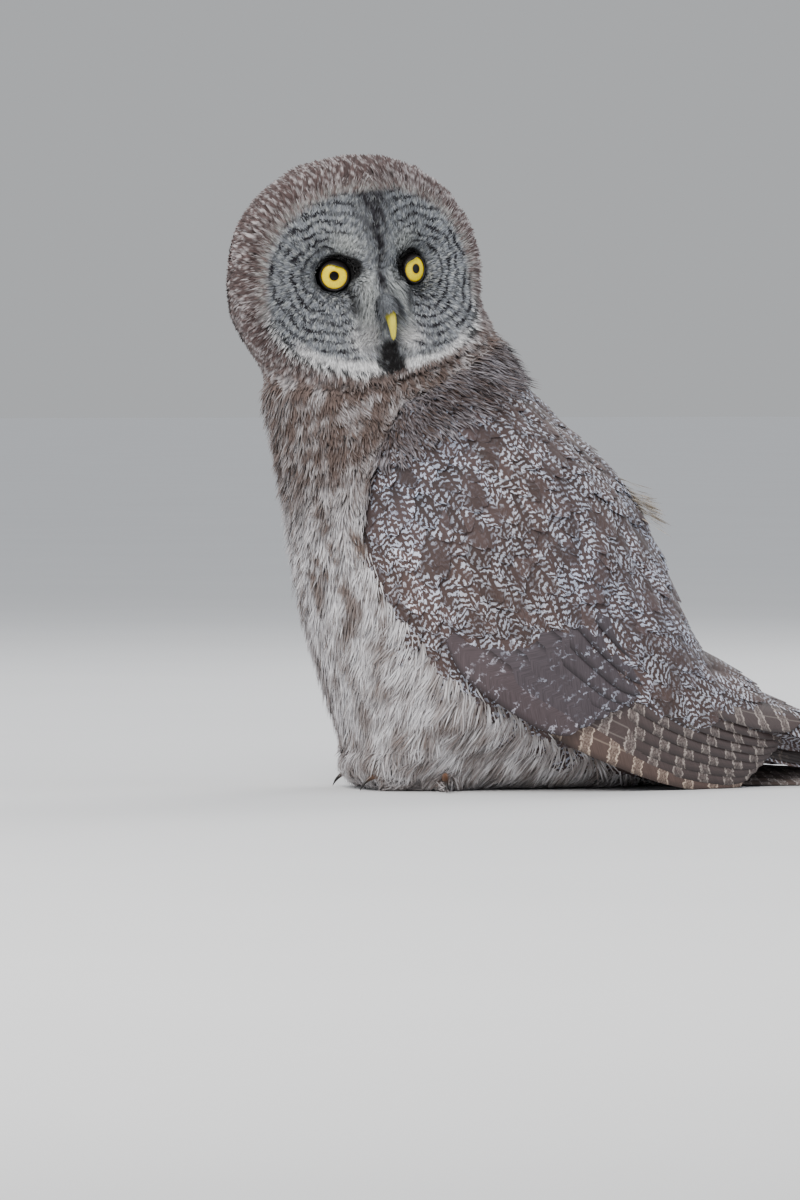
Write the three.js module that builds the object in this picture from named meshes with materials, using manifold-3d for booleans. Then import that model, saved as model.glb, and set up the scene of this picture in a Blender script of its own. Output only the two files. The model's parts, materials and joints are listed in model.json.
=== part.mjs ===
// Life-size great grey owl, sitting upright with its head turned to its left.
// Millimetres, +Z up. The owl faces -Y, its left side is +X, and the floor is z = 0.
// Shapes are laid out with y = 0 between the feet; the last lines move the origin
// to the middle of the whole outline, on the floor.

import * as THREE from 'three';
import Module from 'manifold-3d';

const wasm = await Module();
wasm.setup();

// Driving dimensions
const GAP = 0.3;                    // clearance between neighbouring pieces
const FLOOR_CLEARANCE = 3;          // the belly feathers stop just above the floor
const BODY_LEAN = 27.8;             // lean of the upper back from vertical, degrees
const TAIL_LEAN = 80;               // lean of the rump and wing tips, degrees
const SHOULDER = { y: 0, z: 268 };  // where the body line starts
const BEND_START = 130;             // distance along the body line, from the shoulder
const BEND_END = 350;
const BODY_END = 368;
const WING_PROUD = 4;               // folded wing over the flank feathers
const WING_THICKNESS = 17;
const WING_INNER_X = 20;            // half width of the mantle between the wings
const WING_TIP = 450;               // wing length from the shoulder to the tip
const WING_TIP_TILT = 38;           // the two blades lean together over the tail, degrees
const TAIL_TIP_Y = 376;
const TAIL_HALF_WIDTH = 46;
const HEAD = { x: 5, y: -55, z: 367 };
const HEAD_TURN = 96;               // from straight ahead to the owl's left, degrees
const HEAD_ROLL = 5;                // its left side carried a little higher
const HEAD_SIZE = { side: 94, up: 83, down: 88, front: 64, back: 84 };
const EYE_RADIUS = 12.5;
const EYE_PLACE = { side: 27, front: 27, up: -2 };
const EYE_SPREAD = 23;              // each eye looks this far outward, degrees
const BODY_RINGS = 12;              // facets: rings along the body, and points round it
const BODY_AROUND = 21;
const HEAD_RINGS = 11;
const HEAD_AROUND = 22;
const FOOT_X = 34;
const TOE_RADIUS = 7.5;
const TOE_HEIGHT = 0.7;             // of its own radius: low enough for a flat sole
const CLAW_ARC = 17.3;              // radius of each claw's curve
const CLAW_THICKNESS = 3.1;
const BILL_ARC = 27;                // radius of the bill's curve
const BILL_MIDDLE = { front: 35, up: -44 };
const NECK_CUT = -20;               // where the neck meets the trunk, along the body line

const COLOURS = {
  feather: 0x8a7d75,
  belly: 0xb3aaa2,
  wing: 0x6b5f5a,
  quill: 0x3a2f2b,
  face: 0x9c9d9f,
  toe: 0xa99c8e,
  claw: 0x4a3325,
  bill: 0xd8b93a,
  eye: 0xf2cc1c,
};

const BLOCK_SIZE = 600;             // larger than the owl, for cuts
const BEYOND = 150;                 // farther out than any part of the body

const radians = THREE.MathUtils.degToRad;
const { clamp, lerp, smoothstep } = THREE.MathUtils;

// Small geometry tools

function closedGeometry(points, triangles) {
  const geometry = new THREE.BufferGeometry();
  const position = points.flatMap((p) => [p.x, p.y, p.z]);
  geometry.setAttribute('position', new THREE.Float32BufferAttribute(position, 3));
  geometry.setIndex(triangles.flat());
  return geometry;
}

// A solid through a row of rings, each with the same number of points,
// closed at both ends by a fan round the ring's middle.
function loft(rings) {
  const count = rings[0].length;
  const points = rings.flat();
  const triangles = [];
  for (let r = 0; r + 1 < rings.length; r += 1) {
    for (let i = 0; i < count; i += 1) {
      const a = r * count + i;
      const b = r * count + (i + 1) % count;
      triangles.push([a, b, b + count], [a, b + count, a + count]);
    }
  }
  const middle = (ring) => ring.reduce((sum, p) => sum.add(p), new THREE.Vector3()).divideScalar(count);
  const last = (rings.length - 1) * count;
  const startFan = points.push(middle(rings[0])) - 1;
  const endFan = points.push(middle(rings.at(-1))) - 1;
  for (let i = 0; i < count; i += 1) {
    const next = (i + 1) % count;
    triangles.push([startFan, next, i], [endFan, last + i, last + next]);
  }
  return solid(closedGeometry(points, triangles));
}

// Turns a closed geometry into a solid, facing out whichever way it was wound.
function solid(geometry) {
  const position = geometry.getAttribute('position');
  const index = Array.from(geometry.index.array);
  const corner = (i) => new THREE.Vector3().fromBufferAttribute(position, index[i]);
  let volume = 0;
  for (let i = 0; i < index.length; i += 3) {
    volume += corner(i).dot(corner(i + 1).cross(corner(i + 2)));
  }
  if (volume < 0) index.reverse();
  return new wasm.Manifold(new wasm.Mesh({
    numProp: 3,
    vertProperties: new Float32Array(position.array),
    triVerts: new Uint32Array(index),
  }));
}

// One superellipse ring. side and up are the directions of its two axes.
function ring(centre, side, up, halfWidth, above, below, power, count) {
  const points = [];
  for (let i = 0; i < count; i += 1) {
    const angle = (i / count) * 2 * Math.PI;
    const c = Math.sign(Math.cos(angle)) * Math.abs(Math.cos(angle)) ** (2 / power);
    const s = Math.sign(Math.sin(angle)) * Math.abs(Math.sin(angle)) ** (2 / power);
    points.push(centre.clone()
      .addScaledVector(side, halfWidth * c)
      .addScaledVector(up, (s > 0 ? above : below) * s));
  }
  return points;
}

// A smooth reading of a short table of [place, value] rows.
function profile(rows) {
  const curve = new THREE.SplineCurve(rows.map(([x, y]) => new THREE.Vector2(x, y)));
  return (x) => {
    let low = 0;
    let high = 1;
    for (let step = 0; step < 24; step += 1) {
      const middle = (low + high) / 2;
      if (curve.getPoint(middle).x < x) low = middle;
      else high = middle;
    }
    return curve.getPoint(low).y;
  };
}

function steps(from, to, count) {
  return Array.from({ length: count + 1 }, (_, i) => lerp(from, to, i / count));
}

// The body line: straight down the back, then one arc towards the tail.

const BEND_RADIUS = (BEND_END - BEND_START) / radians(TAIL_LEAN - BODY_LEAN);

function bodyLine(s) {
  const lean = radians(clamp(
    BODY_LEAN + (s - BEND_START) * (TAIL_LEAN - BODY_LEAN) / (BEND_END - BEND_START),
    BODY_LEAN,
    TAIL_LEAN,
  ));
  const start = radians(BODY_LEAN);
  const straight = Math.min(s, BEND_START);
  const after = Math.max(s - BEND_END, 0);
  const y = SHOULDER.y + straight * Math.sin(start)
    + BEND_RADIUS * (Math.cos(start) - Math.cos(lean)) + after * Math.sin(lean);
  const z = SHOULDER.z - straight * Math.cos(start)
    - BEND_RADIUS * (Math.sin(lean) - Math.sin(start)) - after * Math.cos(lean);
  return {
    point: new THREE.Vector3(0, y, z),
    back: new THREE.Vector3(0, Math.cos(lean), Math.sin(lean)),
    lean,
  };
}

// Distances from the body line to the back, the breast and the sides.
const backDepth = profile([
  [-100, 54], [-60, 68], [-20, 68], [20, 71], [50, 80], [90, 94], [130, 99],
  [170, 98], [210, 90], [250, 70], [290, 52], [330, 38], [370, 28],
]);
const breastDepth = profile([
  [-100, 88], [-60, 109], [-20, 119], [20, 130], [50, 140], [90, 152], [130, 159],
  [170, 178], [210, 185], [370, 185],
]);
const halfWidth = profile([
  [-100, 50], [-60, 57], [-20, 74], [20, 95], [50, 105], [90, 110], [130, 110],
  [170, 107], [210, 102], [250, 93], [290, 78], [330, 58], [370, 38],
]);

function breastReach(s, clearance) {
  const { point, back } = bodyLine(s);
  return Math.min(breastDepth(s), (point.z - clearance) / back.z);
}

// The whole feathered body. A negative grow makes it smaller all round.
function bodySolid(from, to, grow, sideGrow = grow) {
  const rings = steps(from, to, BODY_RINGS).map((s) => {
    const { point, back } = bodyLine(s);
    const above = backDepth(s) + grow;
    const below = breastReach(s, FLOOR_CLEARANCE) + grow;
    const centre = point.clone().addScaledVector(back, (above - below) / 2);
    const half = (above + below) / 2;
    const side = new THREE.Vector3(1, 0, 0);
    const points = ring(centre, side, back, halfWidth(s) + sideGrow, half, half, 2.15, BODY_AROUND);
    points.forEach((p) => { p.z = Math.max(p.z, FLOOR_CLEARANCE - Math.min(grow, 0)); });
    return points;
  });
  return loft(rings);
}

// Everything above a cut across the body line, as a big block.
function blockAbove(s) {
  const block = new THREE.BoxGeometry(BLOCK_SIZE, BLOCK_SIZE, BLOCK_SIZE);
  const { point, lean } = bodyLine(s);
  block.deleteAttribute('normal');
  block.deleteAttribute('uv');
  block.translate(0, 0, BLOCK_SIZE / 2);
  block.rotateX(lean);
  block.translate(point.x, point.y, point.z);
  return mergedSolid(block);
}

function mergedSolid(geometry) {
  const position = geometry.getAttribute('position');
  const places = new Map();
  const points = [];
  const renamed = [];
  for (let i = 0; i < position.count; i += 1) {
    const p = new THREE.Vector3().fromBufferAttribute(position, i);
    const key = p.toArray().map((value) => Math.round(value * 1e3)).join(' ');
    if (!places.has(key)) places.set(key, points.push(p) - 1);
    renamed.push(places.get(key));
  }
  const index = Array.from(geometry.index.array, (i) => renamed[i]);
  const triangles = [];
  for (let i = 0; i < index.length; i += 3) {
    const corners = index.slice(i, i + 3);
    if (new Set(corners).size === 3) triangles.push(corners);
  }
  return solid(closedGeometry(points, triangles));
}

function ball(centre, radius, around = 14, down = 8) {
  const geometry = new THREE.SphereGeometry(radius, around, down);
  geometry.translate(centre.x, centre.y, centre.z);
  return mergedSolid(geometry);
}

// Folded wings: the side of the body behind the wing's front edge.

const wingEdge = profile([
  [-30, 20], [-12, 48], [0, 62], [40, 87], [80, 90], [120, 85], [160, 75],
  [200, 63], [250, 50], [290, 40], [330, 28], [380, 20],
]);

function wingRegion(sign, grow) {
  const outline = steps(-24, 380, 10).map((s) => {
    const { point, back } = bodyLine(s);
    return point.clone().addScaledVector(back, -wingEdge(s) - grow);
  });
  const far = [bodyLine(420), bodyLine(300), bodyLine(140), bodyLine(-60)];
  far.forEach(({ point, back }) => outline.push(point.clone().addScaledVector(back, BEYOND)));
  const inner = outline.map((p) => p.clone().setX(sign * (WING_INNER_X - grow)));
  const outer = outline.map((p) => p.clone().setX(sign * BEYOND));
  return loft([inner, outer]);
}

function wingSolid(sign) {
  return bodySolid(-60, BODY_END, WING_PROUD)
    .intersect(wingRegion(sign, 0))
    .subtract(bodyCore(GAP));
}

// What lies under the wings.
function bodyCore(grow) {
  return bodySolid(-60, BODY_END - 12, grow - WING_THICKNESS * 0.55, grow - WING_THICKNESS);
}

// Wing tips: the long outer feathers, one closed blade for each wing.
function wingTipSolid(sign, grow) {
  const tilt = radians(WING_TIP_TILT);
  const height = profile([[296, 24], [330, 27], [380, 24], [420, 16], [WING_TIP, 4]]);
  const middle = profile([[296, 30], [330, 20], [380, 17], [420, 15], [WING_TIP, 12]]);
  const out = profile([[296, 52], [330, 44], [380, 31], [420, 21], [WING_TIP, 13]]);
  const rings = steps(296, WING_TIP, 8).map((s) => {
    const { point, back } = bodyLine(s);
    const centre = point.clone().addScaledVector(back, middle(s) - 8);
    centre.x = sign * out(s);
    const lift = new THREE.Vector3(-sign * Math.sin(tilt), 0, Math.cos(tilt));
    const side = new THREE.Vector3(sign * Math.cos(tilt), 0, Math.sin(tilt));
    return ring(centre, side, lift, 5.5 + grow, height(s) + grow, height(s) + grow, 2, 10);
  });
  return loft(rings);
}

// Tail: a flat folded fan that comes down from the rump and lies on the floor.

function tailSolid(grow) {
  const height = profile([[90, 78], [130, 44], [165, 22], [200, 11], [260, 8], [330, 6.5], [376, 4]]);
  const thick = profile([[90, 12], [130, 12], [165, 11], [200, 11], [260, 8], [330, 6.5], [376, 4]]);
  const width = profile([
    [90, 26], [130, 34], [165, 38], [200, 41], [260, 45], [320, TAIL_HALF_WIDTH], [350, 41], [376, 18],
  ]);
  const rings = steps(90, TAIL_TIP_Y, 12).map((y) => {
    const centre = new THREE.Vector3(0, y + (y === TAIL_TIP_Y ? grow : 0), height(y));
    const side = new THREE.Vector3(1, 0, 0);
    const up = new THREE.Vector3(0, 0, 1);
    const points = ring(centre, side, up, width(y) + grow, thick(y) + grow, thick(y) + grow, 2.6, 16);
    points.forEach((p) => {
      const droop = 0.0022 * p.x * p.x * smoothstep(y, 60, 200);
      p.z = Math.max(p.z - Math.min(droop, 3), -grow);
    });
    return points;
  });
  return loft(rings);
}

// Head, in its own directions: side (to the owl's left), front and up.

const headTurn = new THREE.Matrix4().makeRotationZ(radians(HEAD_TURN));
const headRoll = new THREE.Matrix4().makeRotationY(radians(-HEAD_ROLL));
const headPlace = new THREE.Matrix4()
  .makeTranslation(HEAD.x, HEAD.y, HEAD.z)
  .multiply(headTurn)
  .multiply(headRoll);

function onHead(side, front, up) {
  return new THREE.Vector3(side, -front, up).applyMatrix4(headPlace);
}

// How far the face reaches forward: a ridge between two shallow dishes, one round each eye.
function faceFront(side, up) {
  const across = Math.abs(side);
  const ridge = 55 - 0.43 * across;
  const slope = 0.0030 * (up + 4) ** 2;
  const eyeDistance = Math.hypot(across - 33, up + 2);
  const dish = 5 * Math.exp(-((eyeDistance / 24) ** 2));
  const brow = 3 * Math.exp(-(((across - 20) / 13) ** 2) - (((up - 15) / 8) ** 2));
  return ridge - slope - dish + brow;
}

function headSolid(grow) {
  const rings = steps(0.05, 0.97, HEAD_RINGS).map((t) => {
    const fromFront = t * Math.PI;
    const points = [];
    for (let i = 0; i < HEAD_AROUND; i += 1) {
      const turn = (i / HEAD_AROUND) * 2 * Math.PI;
      const d = new THREE.Vector3(
        Math.sin(fromFront) * Math.cos(turn),
        Math.cos(fromFront),
        Math.sin(fromFront) * Math.sin(turn),
      );
      const reach = new THREE.Vector3(
        HEAD_SIZE.side,
        d.y > 0 ? HEAD_SIZE.front : HEAD_SIZE.back,
        d.z > 0 ? HEAD_SIZE.up : HEAD_SIZE.down,
      ).addScalar(grow);
      const power = d.z > 0 ? 2.05 : 2.35;
      const size = (Math.abs(d.x / reach.x) ** power + Math.abs(d.y / reach.y) ** power
        + Math.abs(d.z / reach.z) ** power) ** (-1 / power);
      d.multiplyScalar(size);
      d.y = Math.min(d.y, faceFront(d.x, d.z) + grow);
      points.push(onHead(d.x, d.y, d.z));
    }
    return points;
  });
  return loft(rings);
}

function eyeCentre(sign, outward = 0) {
  const spread = radians(EYE_SPREAD);
  return onHead(
    sign * (EYE_PLACE.side + outward * Math.sin(spread)),
    EYE_PLACE.front + outward * Math.cos(spread),
    EYE_PLACE.up,
  );
}

// The bill: a short hook that comes out of the ridge and curves down.
function upperBill(grow) {
  const side = new THREE.Vector3(1, 0, 0).transformDirection(headPlace);
  const onArc = (radius, angle) => onHead(
    0,
    BILL_MIDDLE.front + radius * Math.sin(angle),
    BILL_MIDDLE.up + radius * Math.cos(angle),
  );
  const rings = steps(0, 1, 6).map((t) => {
    const angle = lerp(radians(14), radians(103), t);
    const centre = onArc(BILL_ARC, angle);
    const outward = onArc(2 * BILL_ARC, angle).sub(centre).normalize();
    const wide = lerp(5.6, 1.1, t ** 1.6) + grow;
    const deep = lerp(8, 1.3, t ** 1.4) + grow;
    return ring(centre, side, outward, wide, deep, deep * 0.8, 2, 10);
  });
  return loft(rings);
}

function lowerBill(grow) {
  const side = new THREE.Vector3(1, 0, 0).transformDirection(headPlace);
  const up = new THREE.Vector3(0, 0, 1).transformDirection(headPlace);
  const rings = steps(0, 1, 3).map((t) => {
    const centre = onHead(0, lerp(34, 52, t), lerp(-42, -48, t));
    const deep = lerp(3.6, 1.6, t) + grow;
    return ring(centre, side, up, lerp(5, 1.8, t) + grow, deep, deep, 2, 8);
  });
  return loft(rings);
}

// Legs and feet: feathered shanks, and four toes that lie flat on the floor.

const TOES = [
  { name: 'inner', heading: -24, length: 40 },
  { name: 'middle', heading: 4, length: 46 },
  { name: 'outer', heading: 78, length: 38 },
  { name: 'hind', heading: 190, length: 28 },
];

// heading is the angle from straight ahead (-Y), turned outward.
function toeDirection(sign, heading) {
  const angle = radians(heading);
  return new THREE.Vector3(sign * Math.sin(angle), -Math.cos(angle), 0);
}

function toeSolid(sign, toe, grow) {
  const along = toeDirection(sign, toe.heading);
  const side = new THREE.Vector3(-along.y, along.x, 0);
  const up = new THREE.Vector3(0, 0, 1);
  const rings = steps(0, 1, 3).map((t) => {
    const size = TOE_RADIUS * (1 - 0.28 * t) * (t === 1 ? 0.72 : 1);
    const centre = new THREE.Vector3(sign * FOOT_X, 0, size * TOE_HEIGHT)
      .addScaledVector(along, t * toe.length);
    const points = ring(centre, side, up, size + grow, size + grow, size + grow, 2.2, 8);
    points.forEach((p) => { p.z = Math.max(p.z, -grow); });
    return points;
  });
  return loft(rings);
}

function shankSolid(sign, grow) {
  const rings = steps(0, 1, 3).map((t) => {
    const centre = new THREE.Vector3(sign * (FOOT_X + 4 * t), 4 + 10 * t, lerp(3, 62, t));
    const side = new THREE.Vector3(1, 0, 0);
    const back = new THREE.Vector3(0, 1, 0);
    const size = lerp(11, 17, t) + grow;
    return ring(centre, side, back, size, size * 1.15, size * 1.15, 2, 9);
  });
  return loft(rings);
}

function clawSolid(sign, toe, grow) {
  const along = toeDirection(sign, toe.heading);
  const side = new THREE.Vector3(-along.y, along.x, 0);
  const start = new THREE.Vector3(sign * FOOT_X, 0, 0).addScaledVector(along, toe.length - 7);
  const root = radians(-22);
  const rings = steps(0, 1, 5).map((t) => {
    const angle = lerp(root, radians(68), t);
    const size = Math.max(CLAW_THICKNESS * (1 - t) ** 0.7, 0.45) + grow;
    const centre = start.clone().addScaledVector(along, CLAW_ARC * (Math.sin(angle) - Math.sin(root)));
    centre.z = CLAW_ARC * (Math.cos(angle) - Math.cos(radians(68))) + 0.6;
    const outward = along.clone().multiplyScalar(Math.sin(angle)).setZ(Math.cos(angle)).normalize();
    return ring(centre, side, outward, size * 0.8, size, size, 2, 6);
  });
  return loft(rings);
}

// Assembly: each piece keeps GAP to the ones it meets.

const owl = new THREE.Group();

function addNode(name, piece, colour, roughness = 0.85) {
  const mesh = piece.getMesh();
  const geometry = new THREE.BufferGeometry();
  geometry.setAttribute('position', new THREE.BufferAttribute(mesh.vertProperties.slice(), 3));
  geometry.setIndex(new THREE.BufferAttribute(mesh.triVerts.slice(), 1));
  const material = new THREE.MeshStandardMaterial({ color: colour, roughness, metalness: 0 });
  const node = new THREE.Mesh(geometry, material);
  node.name = name;
  owl.add(node);
}

const sides = [{ sign: 1, name: 'left' }, { sign: -1, name: 'right' }];

// The room that the head, eyes and bill take from the neck and wings below them.
function headRoom() {
  let room = headSolid(GAP).add(upperBill(GAP)).add(lowerBill(GAP));
  sides.forEach(({ sign }) => {
    room = room.add(ball(eyeCentre(sign, 8), EYE_RADIUS + 2)).add(ball(eyeCentre(sign), EYE_RADIUS + 1));
  });
  return room;
}

function buildHead() {
  let head = headSolid(0);
  sides.forEach(({ sign, name }) => {
    const opening = ball(eyeCentre(sign, 8), EYE_RADIUS * 0.98);
    head = head.subtract(ball(eyeCentre(sign), EYE_RADIUS + GAP)).subtract(opening);
    addNode(`eye_${name}`, ball(eyeCentre(sign), EYE_RADIUS), COLOURS.eye, 0.1);
  });
  const upper = upperBill(0);
  const lower = lowerBill(0).subtract(upperBill(GAP));
  head = head.subtract(upperBill(GAP)).subtract(lowerBill(GAP));
  addNode('head', head, COLOURS.face);
  addNode('bill_upper', upper, COLOURS.bill, 0.4);
  addNode('bill_lower', lower, COLOURS.bill, 0.4);
}

function buildLegs() {
  let filled = null;
  sides.forEach(({ sign, name }) => {
    const foot = TOES.map((toe) => toeSolid(sign, toe, 0)).reduce((sum, piece) => sum.add(piece));
    const footRoom = TOES.map((toe) => toeSolid(sign, toe, GAP)).reduce((sum, piece) => sum.add(piece));
    const claws = TOES.map((toe) => clawSolid(sign, toe, 0));
    const clawRoom = TOES.map((toe) => clawSolid(sign, toe, GAP)).reduce((sum, piece) => sum.add(piece));
    addNode(`foot_${name}`, foot.subtract(clawRoom), COLOURS.toe);
    claws.forEach((claw, i) => addNode(`claw_${TOES[i].name}_${name}`, claw, COLOURS.claw, 0.35));
    addNode(`leg_${name}`, shankSolid(sign, 0).subtract(footRoom), COLOURS.belly);
    const room = footRoom.add(shankSolid(sign, GAP)).add(clawRoom);
    filled = filled ? filled.add(room) : room;
  });
  return filled;
}

function buildBody(legRoom) {
  const whole = bodySolid(-100, BODY_END, 0);
  const neckBlock = blockAbove(NECK_CUT);
  const wingRoom = wingRegion(1, GAP).add(wingRegion(-1, GAP)).subtract(bodyCore(0));
  const tailRoom = tailSolid(GAP);
  const tips = wingTipSolid(1, GAP).add(wingTipSolid(-1, GAP));
  const trunk = whole
    .subtract(blockAbove(NECK_CUT + GAP))
    .subtract(wingRoom)
    .subtract(tailRoom)
    .subtract(tips)
    .subtract(legRoom);
  const neck = whole.intersect(neckBlock).subtract(headRoom()).subtract(wingRoom);
  addNode('trunk', trunk, COLOURS.belly);
  addNode('neck', neck, COLOURS.feather);
  addNode('tail', tailSolid(0).subtract(tips), COLOURS.feather);
  sides.forEach(({ sign, name }) => {
    const wing = wingSolid(sign).subtract(headRoom()).subtract(tailRoom).subtract(tips);
    addNode(`wing_${name}`, wing, COLOURS.wing);
    addNode(`wing_tip_${name}`, wingTipSolid(sign, 0), COLOURS.quill);
  });
}

buildHead();
buildBody(buildLegs());

const middle = new THREE.Box3().setFromObject(owl).getCenter(new THREE.Vector3());
owl.position.set(-middle.x, -middle.y, 0);

export default owl;
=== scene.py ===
import bpy
import json
import math
import numpy as np
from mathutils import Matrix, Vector
from mathutils.bvhtree import BVHTree

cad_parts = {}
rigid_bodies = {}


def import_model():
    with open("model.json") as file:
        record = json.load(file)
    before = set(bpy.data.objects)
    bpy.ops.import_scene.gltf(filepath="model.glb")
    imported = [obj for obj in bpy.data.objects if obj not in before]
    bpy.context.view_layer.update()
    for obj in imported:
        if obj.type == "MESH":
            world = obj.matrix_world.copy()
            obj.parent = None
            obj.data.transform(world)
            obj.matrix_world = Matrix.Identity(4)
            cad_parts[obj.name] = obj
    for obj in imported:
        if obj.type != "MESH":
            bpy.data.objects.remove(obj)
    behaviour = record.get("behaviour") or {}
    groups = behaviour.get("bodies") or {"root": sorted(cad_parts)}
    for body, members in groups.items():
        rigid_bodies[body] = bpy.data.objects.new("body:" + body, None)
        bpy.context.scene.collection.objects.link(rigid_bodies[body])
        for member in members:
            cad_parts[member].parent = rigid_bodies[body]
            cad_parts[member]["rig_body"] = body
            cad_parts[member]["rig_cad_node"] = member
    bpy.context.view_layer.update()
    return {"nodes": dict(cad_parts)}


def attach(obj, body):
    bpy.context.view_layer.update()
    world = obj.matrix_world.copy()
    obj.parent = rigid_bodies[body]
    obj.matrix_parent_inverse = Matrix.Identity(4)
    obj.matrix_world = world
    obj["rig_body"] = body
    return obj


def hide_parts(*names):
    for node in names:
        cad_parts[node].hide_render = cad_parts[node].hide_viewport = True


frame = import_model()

MM = 0.001

# Places shared with the solids, in millimetres from the point on the floor between the feet
BETWEEN_FEET = np.array([-0.0006, -0.1138, 0])
BODY_LEAN = math.radians(27.8)
TAIL_LEAN = math.radians(80)
SHOULDER = np.array([0.0, 268.0])
BEND_START = 130.0
BEND_END = 350.0
BEND_RADIUS = (BEND_END - BEND_START) / (TAIL_LEAN - BODY_LEAN)
HEAD = np.array([5.0, -55.0, 367.0])
HEAD_TURN = math.radians(96)
HEAD_ROLL = math.radians(5)
EYE_RADIUS = 12.5
EYE_PLACE = np.array([27.0, 27.0, -2.0])
EYE_SPREAD = math.radians(23)
IRIS_RADIUS = 9.6
IRIS_DEPTH = 8.0
IRIS_BULGE = 2.2
LID_EDGE = 10.7
EYE_SIDE = 31.5
EYE_UP = -2.0
TOES = {"inner": (-24, 40), "middle": (4, 46), "outer": (78, 38), "hind": (190, 28)}
FOOT_X = 34.0
SIDES = ((1, "left"), (-1, "right"))
CLAW_ARC = 17.3
CLAW_THICK = 3.1
BILL_ARC = 27.0
BILL_FRONT = 35.0
BILL_UP = -44.0
WING_TIP = 450.0
TAIL_TIP_Y = 376.0
FLOOR_GAP = 0.4
BAKE_PATCH = 0.003


# Small mathematics

def smooth(x, low, high):
    t = np.clip((np.asarray(x, float) - low) / (high - low), 0, 1)
    return t * t * (3 - 2 * t)


def unit(v):
    return v / np.maximum(np.linalg.norm(v, axis=-1, keepdims=True), 1e-9)


def mixed(a, b, t):
    t = np.asarray(t, float)[..., None]
    return a * (1 - t) + b * t


def hill(x, middle, width, power=2):
    """1 in the middle, and little at more than this width from it."""
    return np.exp(-np.abs((x - middle) / width) ** power)


def plateau(x, rise_from, rise_to, fall_from, fall_to):
    """0, then 1 between the two middle values, then 0 again."""
    return smooth(x, rise_from, rise_to) * (1 - smooth(x, fall_from, fall_to))


def grey(level):
    return np.array([level, level, level])


def colour(red, green, blue):
    """A colour as seen on a screen, 0 to 255, as the light values that Blender stores."""
    c = np.array([red, green, blue]) / 255
    return np.where(c <= 0.04045, c / 12.92, ((c + 0.055) / 1.055) ** 2.4)


def ripple(points, size, seed):
    """A smooth random value from -1 to 1 at each point, with features of about this size."""
    random = np.random.default_rng(seed)
    total = np.zeros(len(points))
    for _ in range(6):
        wave = unit(random.normal(size=3)) * random.uniform(0.7, 1.6) * 2 * math.pi / (size * 2)
        total += np.sin(points @ wave + random.uniform(0, 2 * math.pi))
    return np.clip(total / 3, -1, 1)


def to_mm(points):
    """World metres to millimetres from between the feet."""
    return (points - BETWEEN_FEET) / MM


def to_world(points):
    return np.asarray(points) * MM + BETWEEN_FEET


def turn_z(angle):
    c, s = math.cos(angle), math.sin(angle)
    return np.array([[c, -s, 0], [s, c, 0], [0, 0, 1]])


def turn_y(angle):
    c, s = math.cos(angle), math.sin(angle)
    return np.array([[c, 0, s], [0, 1, 0], [-s, 0, c]])


HEAD_AXES = turn_z(HEAD_TURN) @ turn_y(-HEAD_ROLL)


def on_head(side, front, up):
    """Millimetres from between the feet, for a place on the head."""
    return HEAD + HEAD_AXES @ np.array([side, -front, up])


def head_places(points):
    """side, front and up of points given in millimetres."""
    local = (points - HEAD) @ HEAD_AXES
    return local[:, 0], -local[:, 1], local[:, 2]


def body_line(s):
    s = np.asarray(s, float)
    lean = np.clip(BODY_LEAN + (s - BEND_START) / BEND_RADIUS, BODY_LEAN, TAIL_LEAN)
    straight = np.minimum(s, BEND_START)
    after = np.maximum(s - BEND_END, 0)
    y = (SHOULDER[0] + straight * math.sin(BODY_LEAN)
         + BEND_RADIUS * (math.cos(BODY_LEAN) - np.cos(lean)) + after * np.sin(lean))
    z = (SHOULDER[1] - straight * math.cos(BODY_LEAN)
         - BEND_RADIUS * (np.sin(lean) - math.sin(BODY_LEAN)) - after * np.cos(lean))
    return y, z, lean


def body_places(points):
    """Distance down the body line, distance towards the back, and the lean there."""
    y, z = points[:, 1], points[:, 2]
    y0, z0, _ = body_line(BEND_START)
    centre_y = y0 + BEND_RADIUS * math.cos(BODY_LEAN)
    centre_z = z0 + BEND_RADIUS * math.sin(BODY_LEAN)
    dy, dz = centre_y - y, centre_z - z
    lean = np.arctan2(dz, dy)
    s = BEND_START + (lean - BODY_LEAN) * BEND_RADIUS
    t = BEND_RADIUS - np.hypot(dy, dz)
    for limit, lean_there, s_there in ((-1, BODY_LEAN, BEND_START), (1, TAIL_LEAN, BEND_END)):
        py, pz, _ = body_line(s_there)
        beyond = (lean - lean_there) * limit > 0
        along = (y - py) * math.sin(lean_there) - (z - pz) * math.cos(lean_there)
        back = (y - py) * math.cos(lean_there) + (z - pz) * math.sin(lean_there)
        s = np.where(beyond, s_there + along, s)
        t = np.where(beyond, back, t)
        lean = np.where(beyond, lean_there, lean)
    return s, t, lean


# Plumage regions and markings, as functions of place

def wing_edge(s):
    """How far the folded wing's front edge lies in front of the body line."""
    return np.interp(s, [-30, -12, 0, 40, 80, 120, 160, 200, 250, 290, 330, 380],
                     [20, 50, 70, 100, 106, 98, 84, 66, 50, 40, 30, 24])


def disc_distance(side, up):
    """0 in the middle of the facial disc and 1 on its rim."""
    below = np.where(up < -10, 66, 70)
    return (np.abs(side / 80) ** 2.2 + np.abs((up + 10) / below) ** 2.2) ** (1 / 2.2)


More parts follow.
